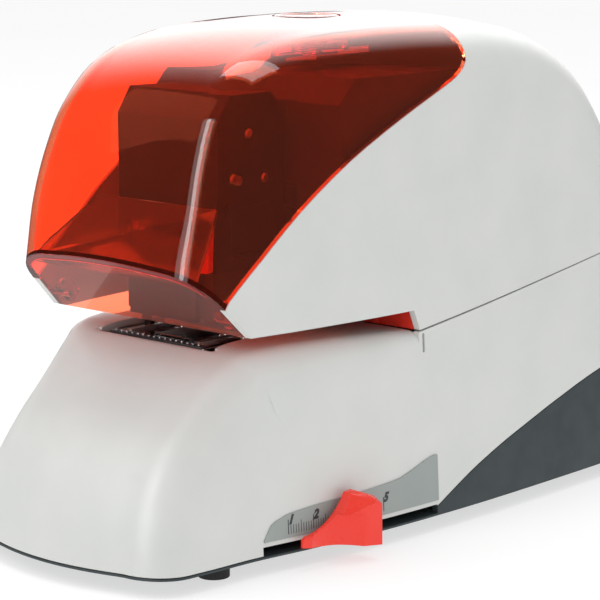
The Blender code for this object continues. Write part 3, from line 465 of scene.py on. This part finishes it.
def by_ray(tree, plain, choices):
    """A value by the kind of ray that asks: plain, or that of the last choice that fits."""
    path = tree.nodes.new("ShaderNodeLightPath")
    value = plain
    for ray, chosen in choices:
        mix = tree.nodes.new("ShaderNodeMix")
        tree.links.new(path.outputs[ray], mix.inputs["Factor"])
        for socket, given in (("A", value), ("B", chosen)):
            if isinstance(given, float):
                mix.inputs[socket].default_value = given
            else:
                tree.links.new(given, mix.inputs[socket])
        value = mix.outputs["Result"]
    return value


class Finish:
    """A Principled material whose colour, roughness and relief come from noise at the right scale."""

    def __init__(self, name):
        self.material = bpy.data.materials.new(name)
        self.material.use_nodes = True
        self.tree = self.material.node_tree
        self.shader = self.tree.nodes["Principled BSDF"]
        self.where = self.node("ShaderNodeTexCoord").outputs["Object"]

    def node(self, kind, **settings):
        made = self.tree.nodes.new(kind)
        for key, value in settings.items():
            setattr(made, key, value)
        return made

    def link(self, source, target):
        self.tree.links.new(source, target)
        return self

    def noise(self, feature, detail=3.0, stretch=(1, 1, 1)):
        """Noise whose features are about `feature` millimetres, stretched along the axes."""
        mapping = self.node("ShaderNodeMapping")
        mapping.inputs["Scale"].default_value = [1 / (feature * MM * s) for s in stretch]
        self.link(self.where, mapping.inputs["Vector"])
        made = self.node("ShaderNodeTexNoise")
        made.inputs["Scale"].default_value = 1.0
        made.inputs["Detail"].default_value = detail
        self.link(mapping.outputs["Vector"], made.inputs["Vector"])
        return made.outputs["Fac"]

    def between(self, value, low, high):
        made = self.node("ShaderNodeMapRange")
        made.inputs["From Min"].default_value = 0.3
        made.inputs["From Max"].default_value = 0.7
        made.inputs["To Min"].default_value = low
        made.inputs["To Max"].default_value = high
        self.link(value, made.inputs["Value"])
        return made.outputs["Result"]

    def colour(self, first, second, feature, stretch=(1, 1, 1)):
        mix = self.node("ShaderNodeMix", data_type="RGBA")
        mix.inputs["A"].default_value = (*first, 1.0)
        mix.inputs["B"].default_value = (*second, 1.0)
        self.link(self.between(self.noise(feature, 4.0, stretch), 0.0, 1.0), mix.inputs["Factor"])
        return self.link(mix.outputs["Result"], self.shader.inputs["Base Color"])

    def roughness(self, low, high, feature, stretch=(1, 1, 1)):
        level = self.between(self.noise(feature, 4.0, stretch), low, high)
        return self.link(level, self.shader.inputs["Roughness"])

    def relief(self, feature, height, strength=0.4, stretch=(1, 1, 1), edge=0.0):
        """Bumps `height` millimetres high; edge is the radius that rounds sharp edges in shading."""
        bump = self.node("ShaderNodeBump")
        bump.inputs["Strength"].default_value = strength
        bump.inputs["Distance"].default_value = height * MM
        self.link(self.noise(feature, 2.0, stretch), bump.inputs["Height"])
        if edge:
            bevel = self.node("ShaderNodeBevel", samples=4)
            bevel.inputs["Radius"].default_value = edge * MM
            self.link(bevel.outputs["Normal"], bump.inputs["Normal"])
        return self.link(bump.outputs["Normal"], self.shader.inputs["Normal"])

    def sockets(self, **values):
        for key, value in values.items():
            self.shader.inputs[key.replace("_", " ")].default_value = value
        return self

    def glow(self, plain, seen_through, near, far):
        """A glow, stronger through clear plastic.  Mirrored, it is `near` by the object and `far` away."""
        distance = self.node("ShaderNodeVectorMath", operation="LENGTH")
        self.link(self.where, distance.inputs[0])
        fade = self.node("ShaderNodeMapRange", interpolation_type="SMOOTHSTEP")
        for socket, value in (("From Min", 0.22), ("From Max", 0.65), ("To Min", near), ("To Max", far)):
            fade.inputs[socket].default_value = value
        self.link(distance.outputs["Value"], fade.inputs["Value"])
        mirrored = self.node("ShaderNodeEmission")
        self.link(by_ray(self.tree, fade.outputs["Result"], (("Is Transmission Ray", near),)),
                  mirrored.inputs["Strength"])
        mix = self.node("ShaderNodeMixShader")
        self.link(by_ray(self.tree, 0.0, (("Glossy Depth", 1.0),)), mix.inputs["Fac"])
        self.link(self.shader.outputs["BSDF"], mix.inputs[1])
        self.link(mirrored.outputs["Emission"], mix.inputs[2])
        self.link(mix.outputs["Shader"], self.tree.nodes["Material Output"].inputs["Surface"])
        strength = by_ray(self.tree, plain, (("Is Transmission Ray", seen_through), ("Diffuse Depth", plain)))
        return self.link(strength, self.shader.inputs["Emission Strength"])

    def shadow_tint(self, colour):
        """Lets light through to what lies behind, tinted, so that the inside isn't in full shadow."""
        clear = self.node("ShaderNodeBsdfTransparent")
        clear.inputs["Color"].default_value = (*colour, 1.0)
        path = self.node("ShaderNodeLightPath")
        mix = self.node("ShaderNodeMixShader")
        output = self.tree.nodes["Material Output"]
        self.link(path.outputs["Is Shadow Ray"], mix.inputs["Fac"])
        self.link(self.shader.outputs["BSDF"], mix.inputs[1])
        self.link(clear.outputs["BSDF"], mix.inputs[2])
        return self.link(mix.outputs["Shader"], output.inputs["Surface"])


def plastic(name, first, second, low, high, grain=0.25, height=0.012, edge=0.35):
    made = Finish(name).colour(first, second, 22.0).roughness(low, high, 6.0).relief(grain, height, 0.35, edge=edge)
    return made.sockets(Specular_IOR_Level=0.5)


def metal(name, first, second, low, high, stretch=(14, 1, 1), edge=0.2):
    made = Finish(name).colour(first, second, 5.0).roughness(low, high, 0.35, stretch)
    return made.relief(0.12, 0.006, 0.3, stretch, edge).sockets(Metallic=1.0)


def clear_plastic(name, first, second, tint, low, high):
    made = Finish(name).colour(first, second, 30.0).roughness(low, high, 9.0).relief(40.0, 0.02, 0.05)
    return made.sockets(Transmission_Weight=0.985, IOR=1.46, Specular_IOR_Level=0.34).shadow_tint(tint)


FINISHES = {
    "white_plastic": plastic("white_plastic", (0.74, 0.75, 0.73), (0.70, 0.715, 0.69), 0.34, 0.44),
    "grey_plastic": plastic("grey_plastic", (0.044, 0.058, 0.063), (0.036, 0.050, 0.055), 0.42, 0.55),
    "red_clear_plastic": clear_plastic("red_clear_plastic", (1.0, 0.20, 0.09), (1.0, 0.18, 0.08),
                                       (0.75, 0.11, 0.07), 0.012, 0.03),
    "smoked_plastic": clear_plastic("smoked_plastic", (0.50, 0.46, 0.46), (0.44, 0.40, 0.40),
                                    (0.55, 0.5, 0.5), 0.05, 0.10),
    "red_plastic": plastic("red_plastic", (1.0, 0.052, 0.030), (0.97, 0.044, 0.026), 0.22, 0.30),
    "black_plastic": plastic("black_plastic", (0.022, 0.022, 0.024), (0.034, 0.034, 0.036), 0.40, 0.55),
    "label_film": plastic("label_film", (0.36, 0.40, 0.385), (0.33, 0.365, 0.35), 0.34, 0.42, edge=0.08),
    "zinc_steel": metal("zinc_steel", (0.60, 0.60, 0.58), (0.50, 0.50, 0.49), 0.24, 0.42),
    "chrome": metal("chrome", (0.86, 0.86, 0.87), (0.78, 0.78, 0.80), 0.08, 0.18),
    "dark_steel": metal("dark_steel", (0.030, 0.030, 0.033), (0.020, 0.020, 0.023), 0.36, 0.55, (1, 1, 6)),
    "rubber": plastic("rubber", (0.022, 0.022, 0.022), (0.035, 0.034, 0.033), 0.75, 0.90, 0.4, 0.03, 0.2),
    "nylon_gear": plastic("nylon_gear", (0.78, 0.75, 0.66), (0.70, 0.68, 0.60), 0.38, 0.50, edge=0.12),
    "board_green": plastic("board_green", (0.020, 0.16, 0.07), (0.014, 0.12, 0.05), 0.30, 0.42, edge=0.1),
}
INK = plastic("scale_ink", (0.035, 0.045, 0.05), (0.05, 0.06, 0.065), 0.4, 0.5, edge=0.02)
# painted shade: this dark red goes on a sheet that stands for the shade seen in the clear front wall's cut edge
PAINTED_EDGE_SHADE = plastic("painted_edge_shade", (0.26, 0.012, 0.010), (0.20, 0.008, 0.008), 0.18, 0.26, edge=0.02)
WIRE_RED = plastic("wire_red", (0.55, 0.02, 0.02), (0.45, 0.015, 0.015), 0.35, 0.45, edge=0.05)
WIRE_BLUE = plastic("wire_blue", (0.02, 0.06, 0.40), (0.015, 0.05, 0.30), 0.35, 0.45, edge=0.05)
PAPER_TAPE = plastic("winding_tape", (0.72, 0.60, 0.22), (0.62, 0.50, 0.18), 0.45, 0.6, edge=0.1)
FLOOR_FINISH = Finish("studio_floor").colour((0.42, 0.42, 0.42), (0.40, 0.40, 0.40), 400.0)
FLOOR_FINISH.roughness(0.7, 0.8, 300.0)
FLOOR_FINISH.sockets(Emission_Color=(1.0, 1.0, 1.0, 1.0), Specular_IOR_Level=0.0)
FLOOR_FINISH.glow(0.62, SEEN_THROUGH - 0.35, 0.80, 0.06)


def finish_of(slot):
    return FINISHES[slot].material


# ---- the housing ----------------------------------------------------------------------------------------
def make_housing():
    seam_low = [(y, z - GAP) for y, z in SEAM]
    edge = TRAY_EDGE[:1] + refined(TRAY_EDGE[1:], TRAY_EDGE_STEPS)
    hood = hood_shell("hood_fine")
    combine(hood, cover_zone(GAP / 2, WALL + 0.1), "DIFFERENCE")
    finished(hood, finish_of("white_plastic"), "chassis", "white_plastic", ("upper_housing",))

    region = ([(-130, TRAY_Z + GAP / 2)] + [(y, z + GAP / 2) for y, z in edge] + [seam_low[1], seam_low[0]]
              + [(THROAT_END_Y - 0.1, seam_low[0][1] - 0.1), (THROAT_END_Y - 0.1, 80), (-130, 80)])
    base = base_shell("base_fine", region, None)
    combine(base, box((-27.4, 27.4), (-70, -62), (TABLE_Z + 1.0, 75)), "DIFFERENCE")
    table_opening = [(-25.8, -63.6), (25.8, -63.6), (25.8, -14), (22.2, -14), (22.2, -36), (-22.2, -36),
                     (-22.2, -14), (-25.8, -14)]
    slits = [box((side * 54 - 6, side * 54 + 6), (7.6, 8.6), (60.7, 66.9)) for side in (1, -1)]
    combine(base, together(prism(table_opening, 60, 75, "Z"), *slits, box((40, 62), SLOT_Y, (5, SLOT_Z[1]))),
            "DIFFERENCE")
    finished(base, finish_of("white_plastic"), "chassis", "white_plastic", ("base_cover",))

    region = ([(-130, FLOOR_Z), (-130, TRAY_Z - GAP / 2)] + [(y, z - GAP / 2) for y, z in edge]
              + [(150, FLOOR_Z)])
    tray = base_shell("tray_fine", region, TRAY_Z + 0.4)
    windows = [box(x, (130, 145), z) for x, z in ((INLET_X, INLET_Z), (SWITCH_X, SWITCH_Z))]
    combine(tray, together(box((43, 62), SLOT_Y, (SLOT_Z[0] - 0.5, 12)), *windows), "DIFFERENCE")
    vents = [prism(plate((-24, 24), (y, y + 2.4), 1.1), 3, 9, "Z") for y in range(30, 70, 6)]
    combine(tray, together(*vents), "DIFFERENCE")
    finished(tray, finish_of("grey_plastic"), "chassis", "grey_plastic", ("base_tray",))


def make_cover():
    py, pz = COVER_PIVOT
    cover = combine(hood_shell("cover_fine"), cover_zone(-GAP / 2, WALL + 0.45), "INTERSECT")
    ear = rounded([pivot_point(-4.2, -1.5), pivot_point(4.2, -1.5), pivot_point(3.6, 4.4),
                   pivot_point(-3.6, 4.4)], 2.5)
    for low in (34.5, -37.5):
        combine(cover, prism(ear, low, low + 3.0), "UNION")
    pin_holes = [prism(ring_points((py, pz), 1.5, 32), low, low + 10.5) for low in (33.0, -43.5)]
    combine(cover, together(*pin_holes), "DIFFERENCE")
    combine(cover, prism(ring_points(BUTTON_AT, BUTTON_RADIUS + 0.4, 64), 150, 175, "Z"), "DIFFERENCE")
    finished(cover, finish_of("red_clear_plastic"), "cover", "red_clear_plastic", ("front_cover",), sharp=35)

    radius = BUTTON_RADIUS
    cup = turned(BUTTON_AT, [(3.2, 159.4), (3.2, 158.2), (radius + 2.0, 158.2), (radius + 2.4, 159.0),
                             (radius + 2.4, 165.2), (radius + 0.45, 165.2), (radius + 0.45, 159.9),
                             (radius - 0.2, 159.4)], "Z", 64)
    cup.faces.ensure_lookup_table()
    bmesh.ops.delete(cup, geom=[face for face in cup.faces if len(face.verts) > 4], context="FACES")
    open_edges = [edge for edge in cup.edges if edge.is_boundary]
    bmesh.ops.bridge_loops(cup, edges=open_edges)
    piece("button_cup", cup, finish_of("red_clear_plastic"), "cover", "red_clear_plastic")

    top = 168.2
    cap = turned(BUTTON_AT, [(2.2, 157.0), (2.6, 157.5), (2.6, 164.6), (radius - 0.5, 165.0), (radius, 165.6),
                             (radius, top - 0.9), (radius - 0.25, top - 0.35), (radius - 0.9, top),
                             (radius - 1.6, top - 0.05), (radius - 2.2, top - 0.45), (4.0, top - 0.75)], "Z", 64)
    piece("button_cap", cap, finish_of("red_clear_plastic"), "button", "red_clear_plastic",
          stands_for=("release_button",))


def pivot_point(run, inward):
    """A point of the side view near the cover's pivot, measured along the chin and square to it."""
    return (COVER_PIVOT[0] + (inward - run) * HALF_ROOT, COVER_PIVOT[1] + (inward + run) * HALF_ROOT)


# ---- knob and scale -------------------------------------------------------------------------------------
KNOB_FOOT_Y, KNOB_BACK_Y = -55.7, -26.0
SCALE_ONE_Y, SCALE_STEP = -53.9, 10.2      # where the 1 of the scale stands, and the space to the next number
TICK_BEFORE_NUMBER = 0.9
LONG_TICK, MIDDLE_TICK, SHORT_TICK = 4.7, 3.9, 2.8
TICK_FOOT_Z = 11.7
NUMBER_FOOT_Z = 14.9
NUMBER_SIZE, NUMBER_SLANT, NUMBER_WEIGHT = 4.0, 0.35, 0.24


def knob_wall(y):
    """The knob's inner face, a little off the housing's side."""
    return 54.1 + (y - KNOB_FOOT_Y) * 0.064


def make_knob():
    back = KNOB_BACK_Y
    hull = [(knob_wall(-53.2), -53.2, 7.6), (knob_wall(-53.2), -53.2, 10.2), (55.2, -53.2, 7.6), (55.2, -53.2, 10.2),
            (knob_wall(-35), -35.0, 22.3), (57.6, -35.0, 22.3), (knob_wall(-31.5), -31.5, 22.7), (58.2, -32.0, 22.7),
            (62.6, -29.5, 21.2), (64.6, -28.6, 19.8), (knob_wall(back), back, 20.7), (61.0, back, 20.4),
            (64.4, back, 18.4), (64.6, back, 5.0), (knob_wall(back), back, 6.2), (62.8, -32.0, 5.4),
            (58.6, -37.0, 6.0), (57.2, -46.0, 6.8), (knob_wall(-46.5), -46.5, 6.9)]
    body = bmesh.new()
    for point in hull:
        body.verts.new(point)
    bmesh.ops.convex_hull(body, input=body.verts)
    knob = plain_object("knob_fine", body)
    combine(knob, prism(ring_points((-53.5, 32.6), 21.6, 160), 50, 70), "DIFFERENCE")
    combine(knob, prism(ring_points((72.0, -46.0), 16.2, 160), 0, 16.4, "Z"), "DIFFERENCE")
    combine(knob, box((30, 58), (-38, -28), (7.3, 8.7)), "UNION")
    finished(knob, finish_of("red_plastic"), "stop", "red_plastic", ("depth_knob",), sharp=28, bevel=0.45,
             segments=3)


def make_scale():
    columns = [(y, LABEL_FOOT_Z, high) for y, high in refined(LABEL_TOP, 60)]
    piece("label_fine", side_sheet(columns, 0.15, 0.45), finish_of("label_film"), "chassis", "label_film",
          stands_for=("scale_label",))
    ticks = []
    for k in range(41):
        y = SCALE_ONE_Y - TICK_BEFORE_NUMBER + k * SCALE_STEP / 10
        length = LONG_TICK if k % 10 == 0 else MIDDLE_TICK if k % 5 == 0 else SHORT_TICK
        high = TICK_FOOT_Z + length
        half = 0.15 if k % 10 == 0 else 0.10
        ticks.append(side_sheet([(y - half, TICK_FOOT_Z, high), (y + half, TICK_FOOT_Z, high)], 0.46, 0.50, 2))
    piece("scale_ticks", together(*ticks), INK.material, "chassis", "label_film")
    for number in range(1, 6):
        curve = bpy.data.curves.new(f"number_{number}", "FONT")
        curve.body = str(number)
        curve.size = NUMBER_SIZE
        curve.shear = NUMBER_SLANT
        curve.offset = NUMBER_WEIGHT
        curve.align_x = "CENTER"
        curve.extrude = 0.02
        made = bpy.data.objects.new(f"scale_number_{number}", curve)
        bpy.context.scene.collection.objects.link(made)
        graph = bpy.context.evaluated_depsgraph_get()
        flat = bpy.data.meshes.new_from_object(made.evaluated_get(graph), depsgraph=graph)
        bpy.data.objects.remove(made)
        mesh = bmesh.new()
        mesh.from_mesh(flat)
        bmesh.ops.remove_doubles(mesh, verts=mesh.verts, dist=0.0005)
        middle = SCALE_ONE_Y + (number - 1) * SCALE_STEP
        for vert in mesh.verts:
            vert.co = on_wall(middle + vert.co.x, NUMBER_FOOT_Z + vert.co.y, 0.48 + vert.co.z)
        piece(f"scale_number_{number}", mesh, INK.material, "chassis", "label_film")


# ---- what the mechanical model leaves out ---------------------------------------------------------------
def screw(name, centre, radius, foot, top, axis, body, finish="zinc_steel"):
    """A domed screw head with a cross slot, on the side that `top` lies on."""
    rise = (top - foot)
    head = plain_object(name, turned(centre, [(radius, foot), (radius, foot + rise * 0.45),
                                              (radius * 0.8, foot + rise * 0.85), (radius * 0.4, top)], axis, 28))
    slots = []
    for a, b in ((radius * 0.62, radius * 0.14), (radius * 0.14, radius * 0.62)):
        low, high = sorted((foot + rise * 0.55, top + rise))
        slots.append(prism([(centre[0] - a, centre[1] - b), (centre[0] + a, centre[1] - b),
                            (centre[0] + a, centre[1] + b), (centre[0] - a, centre[1] + b)], low, high, axis))
    for slot_mesh in slots:
        combine(head, slot_mesh, "DIFFERENCE")
    finished(head, finish_of(finish), body, finish)


def make_fastenings():
    low, high = node_box("side_plate_right")
    spots = (("low", (-52, 26)), ("mid", (17.5, 30)), ("rear", (88, 26)), ("top", (88, 92)))
    for spot_name, spot in spots:
        for side, side_name in ((1, "right"), (-1, "left")):
            face = side * high.x
            screw(f"plate_screw_{spot_name}_{side_name}", spot, 2.6, face, face + side * 1.8, "X", "chassis")
    for x in (-30, 30):
        for y in (-60, 96):
            screw(f"tray_screw_{'right' if x > 0 else 'left'}_{'rear' if y > 0 else 'front'}", (x, y), 2.6,
                  FLOOR_Z, FLOOR_Z - 0.9, "Z", "chassis")


def crease_run(x):
    """How far up the chin plane its front edge lies at this x, found on the hood's outer skin."""
    inside, outside = 10.0, 60.0
    for _ in range(24):
        middle = (inside + outside) / 2
        y, z = below_chin(middle, 0)
        if y > front_skin_y(x, z):
            inside = middle
        else:
            outside = middle
    return inside


def front_skin_y(x, z):
    """Where the hood's front lies at this x and height: its outline, its crown and its rounded corner."""
    count = 400
    spots = [smooth_at(HOOD_OUTLINE[:5], 4 * k / count) for k in range(count + 1)]
    y, _, across, down, crown = min(spots, key=lambda spot: abs(spot[1] - z))
    flat = half_width(y, z) - across
    if abs(x) <= flat:
        return y + crown * (x / CROWN_X) ** 2
    share = min((abs(x) - flat) / across, 1.0)
    return y + crown * (flat / CROWN_X) ** 2 + down * (1 - math.sqrt(1 - share ** 2))


def chin_band(low, high, thick):
    """A thin strip on the chin that follows its front edge, from `low` to `high` behind that edge."""
    half = half_width(-84, 92) - 3.0
    columns = 60
    rings = []
    for k in range(columns + 1):
        x = -half + 2 * half * k / columns
        run = crease_run(x)
        rings.append([(x, *below_chin(run - depth, lift)) for depth, lift in
                      ((low, -0.02), (high, -0.02), (high, -0.02 - thick), (low, -0.02 - thick))])
    mesh = bmesh.new()
    loops = [[mesh.verts.new(point) for point in ring] for ring in rings]
    for before, after in zip(loops, loops[1:]):
        for k in range(4):
            j = (k + 1) % 4
            mesh.faces.new((before[k], before[j], after[j], after[k]))
    mesh.faces.new(loops[0])
    mesh.faces.new(loops[-1])
    return mesh


def make_cover_edge():
    """The front wall's cut edge along the chin: its shade is painted as a dark red band, and its highlight is
    painted as a bright red line behind it.
    """
    # a dark red sheet on the chin: the painted shade of the front wall's cut edge
    piece("cover_painted_shade_band", chin_band(0.25, WALL, 0.05), PAINTED_EDGE_SHADE.material, "cover", "red_clear_plastic")
    # an opaque bright red strip behind it: a painted highlight on the cut edge
    piece("cover_painted_highlight_line", chin_band(WALL, WALL + 0.55, 0.09), finish_of("red_plastic"), "cover",
          "red_clear_plastic")


def make_anvil_details():
    """The guide strip behind the lip with its studs, the anvil's rails and screws."""
    low, high = node_box("anvil_plate")
    strip = box((low.x + 1, high.x - 1), (low.y - 0.1, low.y + 2.6), (high.z - 0.6, high.z + 0.5))
    piece("guide_strip", strip, finish_of("black_plastic"), "chassis", "black_plastic", bevel=0.2)
    studs = []
    count = 16
    for k in range(count):
        x = low.x + 3 + (high.x - low.x - 6) * k / (count - 1)
        studs.append(prism(ring_points((x, low.y + 1.2), 0.55, 14), high.z + 0.4, high.z + 0.95, "Z"))
    piece("guide_studs", together(*studs), finish_of("chrome"), "chassis", "chrome")
    for side, name in ((1, "right"), (-1, "left")):
        x = side * 15.5
        rail = box((x - 1.1, x + 1.1), (low.y + 3.4, high.y - 2), (high.z - 0.5, high.z + 0.9))
        piece(f"anvil_rail_{name}", rail, finish_of("zinc_steel"), "chassis", "zinc_steel", bevel=0.3)
        screw(f"anvil_screw_{name}", (side * 19.2, high.y - 5), 1.5, high.z, high.z + 0.8, "Z", "chassis")


def make_head_details():
    """The release bar behind the tower's windows, the tower's rivets and the cassette's ribs."""
    low, high = node_box("stapling_head")
    front = low.y + 4.4
    piece("release_bar", box((-18.2, 18.2), (front, front + 1.6), (98.4, 104.6)), finish_of("red_plastic"),
          "head", "red_plastic", bevel=0.4)
    for side, name in ((1, "right"), (-1, "left")):
        face = side * high.x
        for k, (y, z) in enumerate(((-48, 120), (-36, 120), (-42, 134), (-10, 86), (20, 86), (50, 86))):
            profile = [(1.6, face - side * 0.3), (1.6, face + side * 0.35), (1.1, face + side * 0.75)]
            piece(f"head_rivet_{name}_{k}", turned((y, z), profile, "X", 18), finish_of("zinc_steel"), "head",
                  "zinc_steel")
    low, high = node_box("staple_cassette")
    ribs = [box((x - 0.4, x + 0.4), (low.y + 2, high.y - 2), (high.z - 0.3, high.z + 0.6))
            for x in range(-18, 19, 3) if abs(abs(x) - 13) > 1.6 and abs(x) > 7]
    piece("cassette_ribs", together(*ribs), finish_of("black_plastic"), "head", "black_plastic")


def make_electric_details():
    """Windings, capacitors, wires and the bands round the motor."""
    low, high = node_box("transformer")
    middle = (low + high) / 2
    coil = plate((middle.x - 14.5, middle.x + 14.5), (low.y + 1.0, high.y - 1.0), 4)
    piece("transformer_winding", prism(coil, middle.z - 6.5, middle.z + 6.5, "Z"), PAPER_TAPE.material,
          "chassis", "dark_steel", bevel=0.8)
    low, high = node_box("circuit_board")
    top = low.z + 1.6
    for k, (x, y, radius, height) in enumerate(((10, 54, 3.2, 9), (2, 55, 2.4, 7), (-8, 55, 2.4, 7),
                                                (14, 40, 2.0, 6), (-16, 41, 2.6, 8))):
        profile = [(radius, top - 0.2), (radius, top + height - 0.5), (radius - 0.5, top + height),
                   (radius * 0.5, top + height - 0.2)]
        piece(f"capacitor_{k}", turned((x, y), profile, "Z", 24), finish_of("black_plastic"), "chassis",
              "board_green")
    motor_low, motor_high = node_box("drive_motor")
    centre = ((motor_low.y + motor_high.y) / 2, (motor_low.z + motor_high.z) / 2)
    for k, finish in enumerate((WIRE_RED, WIRE_BLUE)):
        y = centre[0] - 4 + 8 * k
        route = [(motor_low.x - 0.3, y, centre[1] - 8), (motor_low.x - 2.2, y + 4, centre[1] - 16),
                 (motor_low.x - 1.6, y + 6, 78), (-23.5, y + 4, 60), (-18, y - 4, 44),
                 (-14 + 4 * k, 47, 32.5)]
        piece(f"motor_wire_{k}", wire(route, 0.8), finish.material, "chassis", "black_plastic")
        x = 4 + 5 * k
        route = [(x, 50, 31.5), (x + 4, 66, 46), (x + 9, 96, 47), (20 + 5 * k, 118, 36), (22 + 5 * k, 124.6, 30)]
        piece(f"switch_wire_{k}", wire(route, 0.8), finish.material, "chassis", "black_plastic")
    low, high = node_box("drive_motor")
    bands = [tube_band(centre, 14.25, 13.8, x, x + 1.2) for x in (-18, 16)]
    piece("motor_bands", together(*bands), finish_of("dark_steel"), "chassis", "zinc_steel")


def tube_band(centre, outer, inner, low, high, sides=48):
    """A thin ring round an axis along X."""
    mesh = bmesh.new()
    loops = [[mesh.verts.new((h, a, b)) for a, b in ring_points(centre, radius, sides)]
             for radius, h in ((outer, low), (outer, high), (inner, high), (inner, low))]
    for k in range(4):
        for i in range(sides):
            j = (i + 1) % sides
            mesh.faces.new((loops[k][i], loops[k][j], loops[(k + 1) % 4][j], loops[(k + 1) % 4][i]))
    return mesh


def make_details():
    make_fastenings()
    make_cover_edge()
    make_anvil_details()
    make_head_details()
    make_electric_details()


# ---- carried-over pieces --------------------------------------------------------------------------------
UNBEVELLED = {"button_spring", "head_return_spring", "idler_gear", "cam_gear", "motor_pinion"}


def dress_frame():
    """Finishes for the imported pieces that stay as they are, with their edges rounded a little."""
    slots = {row["node"]: row["material_slot"] for row in frame["record"]["subparts"]}
    for name, thing in frame["nodes"].items():
        if thing.hide_render:
            continue
        thing.data.materials.clear()
        thing.data.materials.append(finish_of(slots[name]))
        weld = thing.modifiers.new("weld", "WELD")
        weld.merge_threshold = 0.002 * MM
        if name not in UNBEVELLED:
            bevel = thing.modifiers.new("edges", "BEVEL")
            bevel.width = 0.25 * MM
            bevel.segments = 2
            bevel.limit_method = "ANGLE"
            bevel.angle_limit = math.radians(40)


# ---- studio ---------------------------------------------------------------------------------------------
CAMERA_AT = Vector((563.58, -611.34, 226.11))
CAMERA_TURN, CAMERA_DIP = math.radians(42.402), math.radians(10.463)
LENS = 150.0


BACKDROP_LINE = Vector((-0.50, 0.62, 0.60)).normalized()   # towards the lit backdrop behind and above
ROOM_LIGHT = 0.77                                          # what the even studio light adds to every surface
BACKDROP_GLOW = 3.0                                        # how bright the backdrop shows in reflections
DARK_ROOM = 0.04                                           # how bright the room in front shows in reflections


def studio_world():
    """A white studio whose brightness goes by kind of ray: reflections see a lit backdrop behind the object and
    a dark room in front, clear plastic shows it brighter, and less of it lights what lies inside."""
    world = bpy.data.worlds.new("studio")
    world.use_nodes = True
    tree = world.node_tree
    background = tree.nodes["Background"]
    background.inputs["Color"].default_value = (1.0, 1.0, 1.0, 1.0)
    where = tree.nodes.new("ShaderNodeTexCoord")
    along = tree.nodes.new("ShaderNodeVectorMath")
    along.operation = "DOT_PRODUCT"
    along.inputs[1].default_value = BACKDROP_LINE
    tree.links.new(where.outputs["Generated"], along.inputs[0])
    fade = tree.nodes.new("ShaderNodeMapRange")
    fade.interpolation_type = "SMOOTHSTEP"
    for socket, value in (("From Min", 0.66), ("From Max", 1.0), ("To Min", DARK_ROOM),
                          ("To Max", BACKDROP_GLOW)):
        fade.inputs[socket].default_value = value
    tree.links.new(along.outputs["Value"], fade.inputs["Value"])
    mirrored = by_ray(tree, fade.outputs["Result"], (("Is Transmission Ray", SEEN_THROUGH / 2),))
    on_surfaces = by_ray(tree, ROOM_LIGHT, (("Is Transmission Ray", LIGHT_INSIDE),))
    strength = by_ray(tree, 1.0, (("Is Transmission Ray", SEEN_THROUGH), ("Glossy Depth", mirrored),
                                  ("Diffuse Depth", on_surfaces)))
    tree.links.new(strength, background.inputs["Strength"])
    return world


def make_studio():
    scene = bpy.context.scene
    back = Vector((math.sin(CAMERA_TURN) * math.cos(CAMERA_DIP), -math.cos(CAMERA_TURN) * math.cos(CAMERA_DIP),
                   math.sin(CAMERA_DIP)))
    right = Vector((math.cos(CAMERA_TURN), math.sin(CAMERA_TURN), 0))
    up = back.cross(right)
    lens = bpy.data.cameras.new("camera")
    lens.lens = LENS
    camera = bpy.data.objects.new("camera", lens)
    camera.matrix_world = Matrix((right, up, back)).transposed().to_4x4()
    camera.location = CAMERA_AT * MM + SHIFT
    scene.collection.objects.link(camera)
    scene.camera = camera

    scene.world = studio_world()
    scene.view_settings.view_transform = "Standard"

    floor = bpy.data.meshes.new("floor")
    reach = 40.0
    floor.from_pydata([(-reach, -reach, 0), (reach, -reach, 0), (reach, reach, 0), (-reach, reach, 0)], [],
                      [(0, 1, 2, 3)])
    floor.materials.append(FLOOR_FINISH.material)
    ground = bpy.data.objects.new("floor", floor)
    scene.collection.objects.link(ground)


def soft_light(name, foot, head, width, aim, radiance, diffuse=True, reflected=True):
    """A rectangular studio light from foot to head, facing aim, all in design millimetres, of an even radiance."""
    foot, head, aim = Vector(foot), Vector(head), Vector(aim)
    along = (head - foot).normalized()
    middle = (foot + head) / 2
    out = middle - aim
    out = (out - along * out.dot(along)).normalized()
    data = bpy.data.lights.new(name, "AREA")
    data.shape = "RECTANGLE"
    data.size, data.size_y = width * MM, (head - foot).length * MM
    data.energy = radiance * math.pi * data.size * data.size_y
    lamp = bpy.data.objects.new(name, data)
    lamp.matrix_world = Matrix((along.cross(out), along, out)).transposed().to_4x4()
    lamp.location = middle * MM + SHIFT
    lamp.visible_camera = False
    lamp.visible_diffuse = diffuse
    lamp.visible_glossy = reflected
    bpy.context.scene.collection.objects.link(lamp)


MIDDLE = (0, 0, 90)
make_housing()
make_cover()
make_knob()
make_scale()
make_details()
dress_frame()
make_studio()
soft_light("key", (-1250, -650, 1000), (-550, -1100, 1600), 900, MIDDLE, 1.6, reflected=False)
soft_light("overhead", (-750, 150, 1350), (350, 150, 1350), 460, MIDDLE, 4.2)
soft_light("tall_strip", (100, -1400, 130), (-105, -830, 1170), 150, (0, -60, 120), 8.0, diffuse=False)
soft_light("strip_halo", (110, -1420, 60), (-110, -850, 1200), 520, (0, -60, 120), 2.2, diffuse=False)
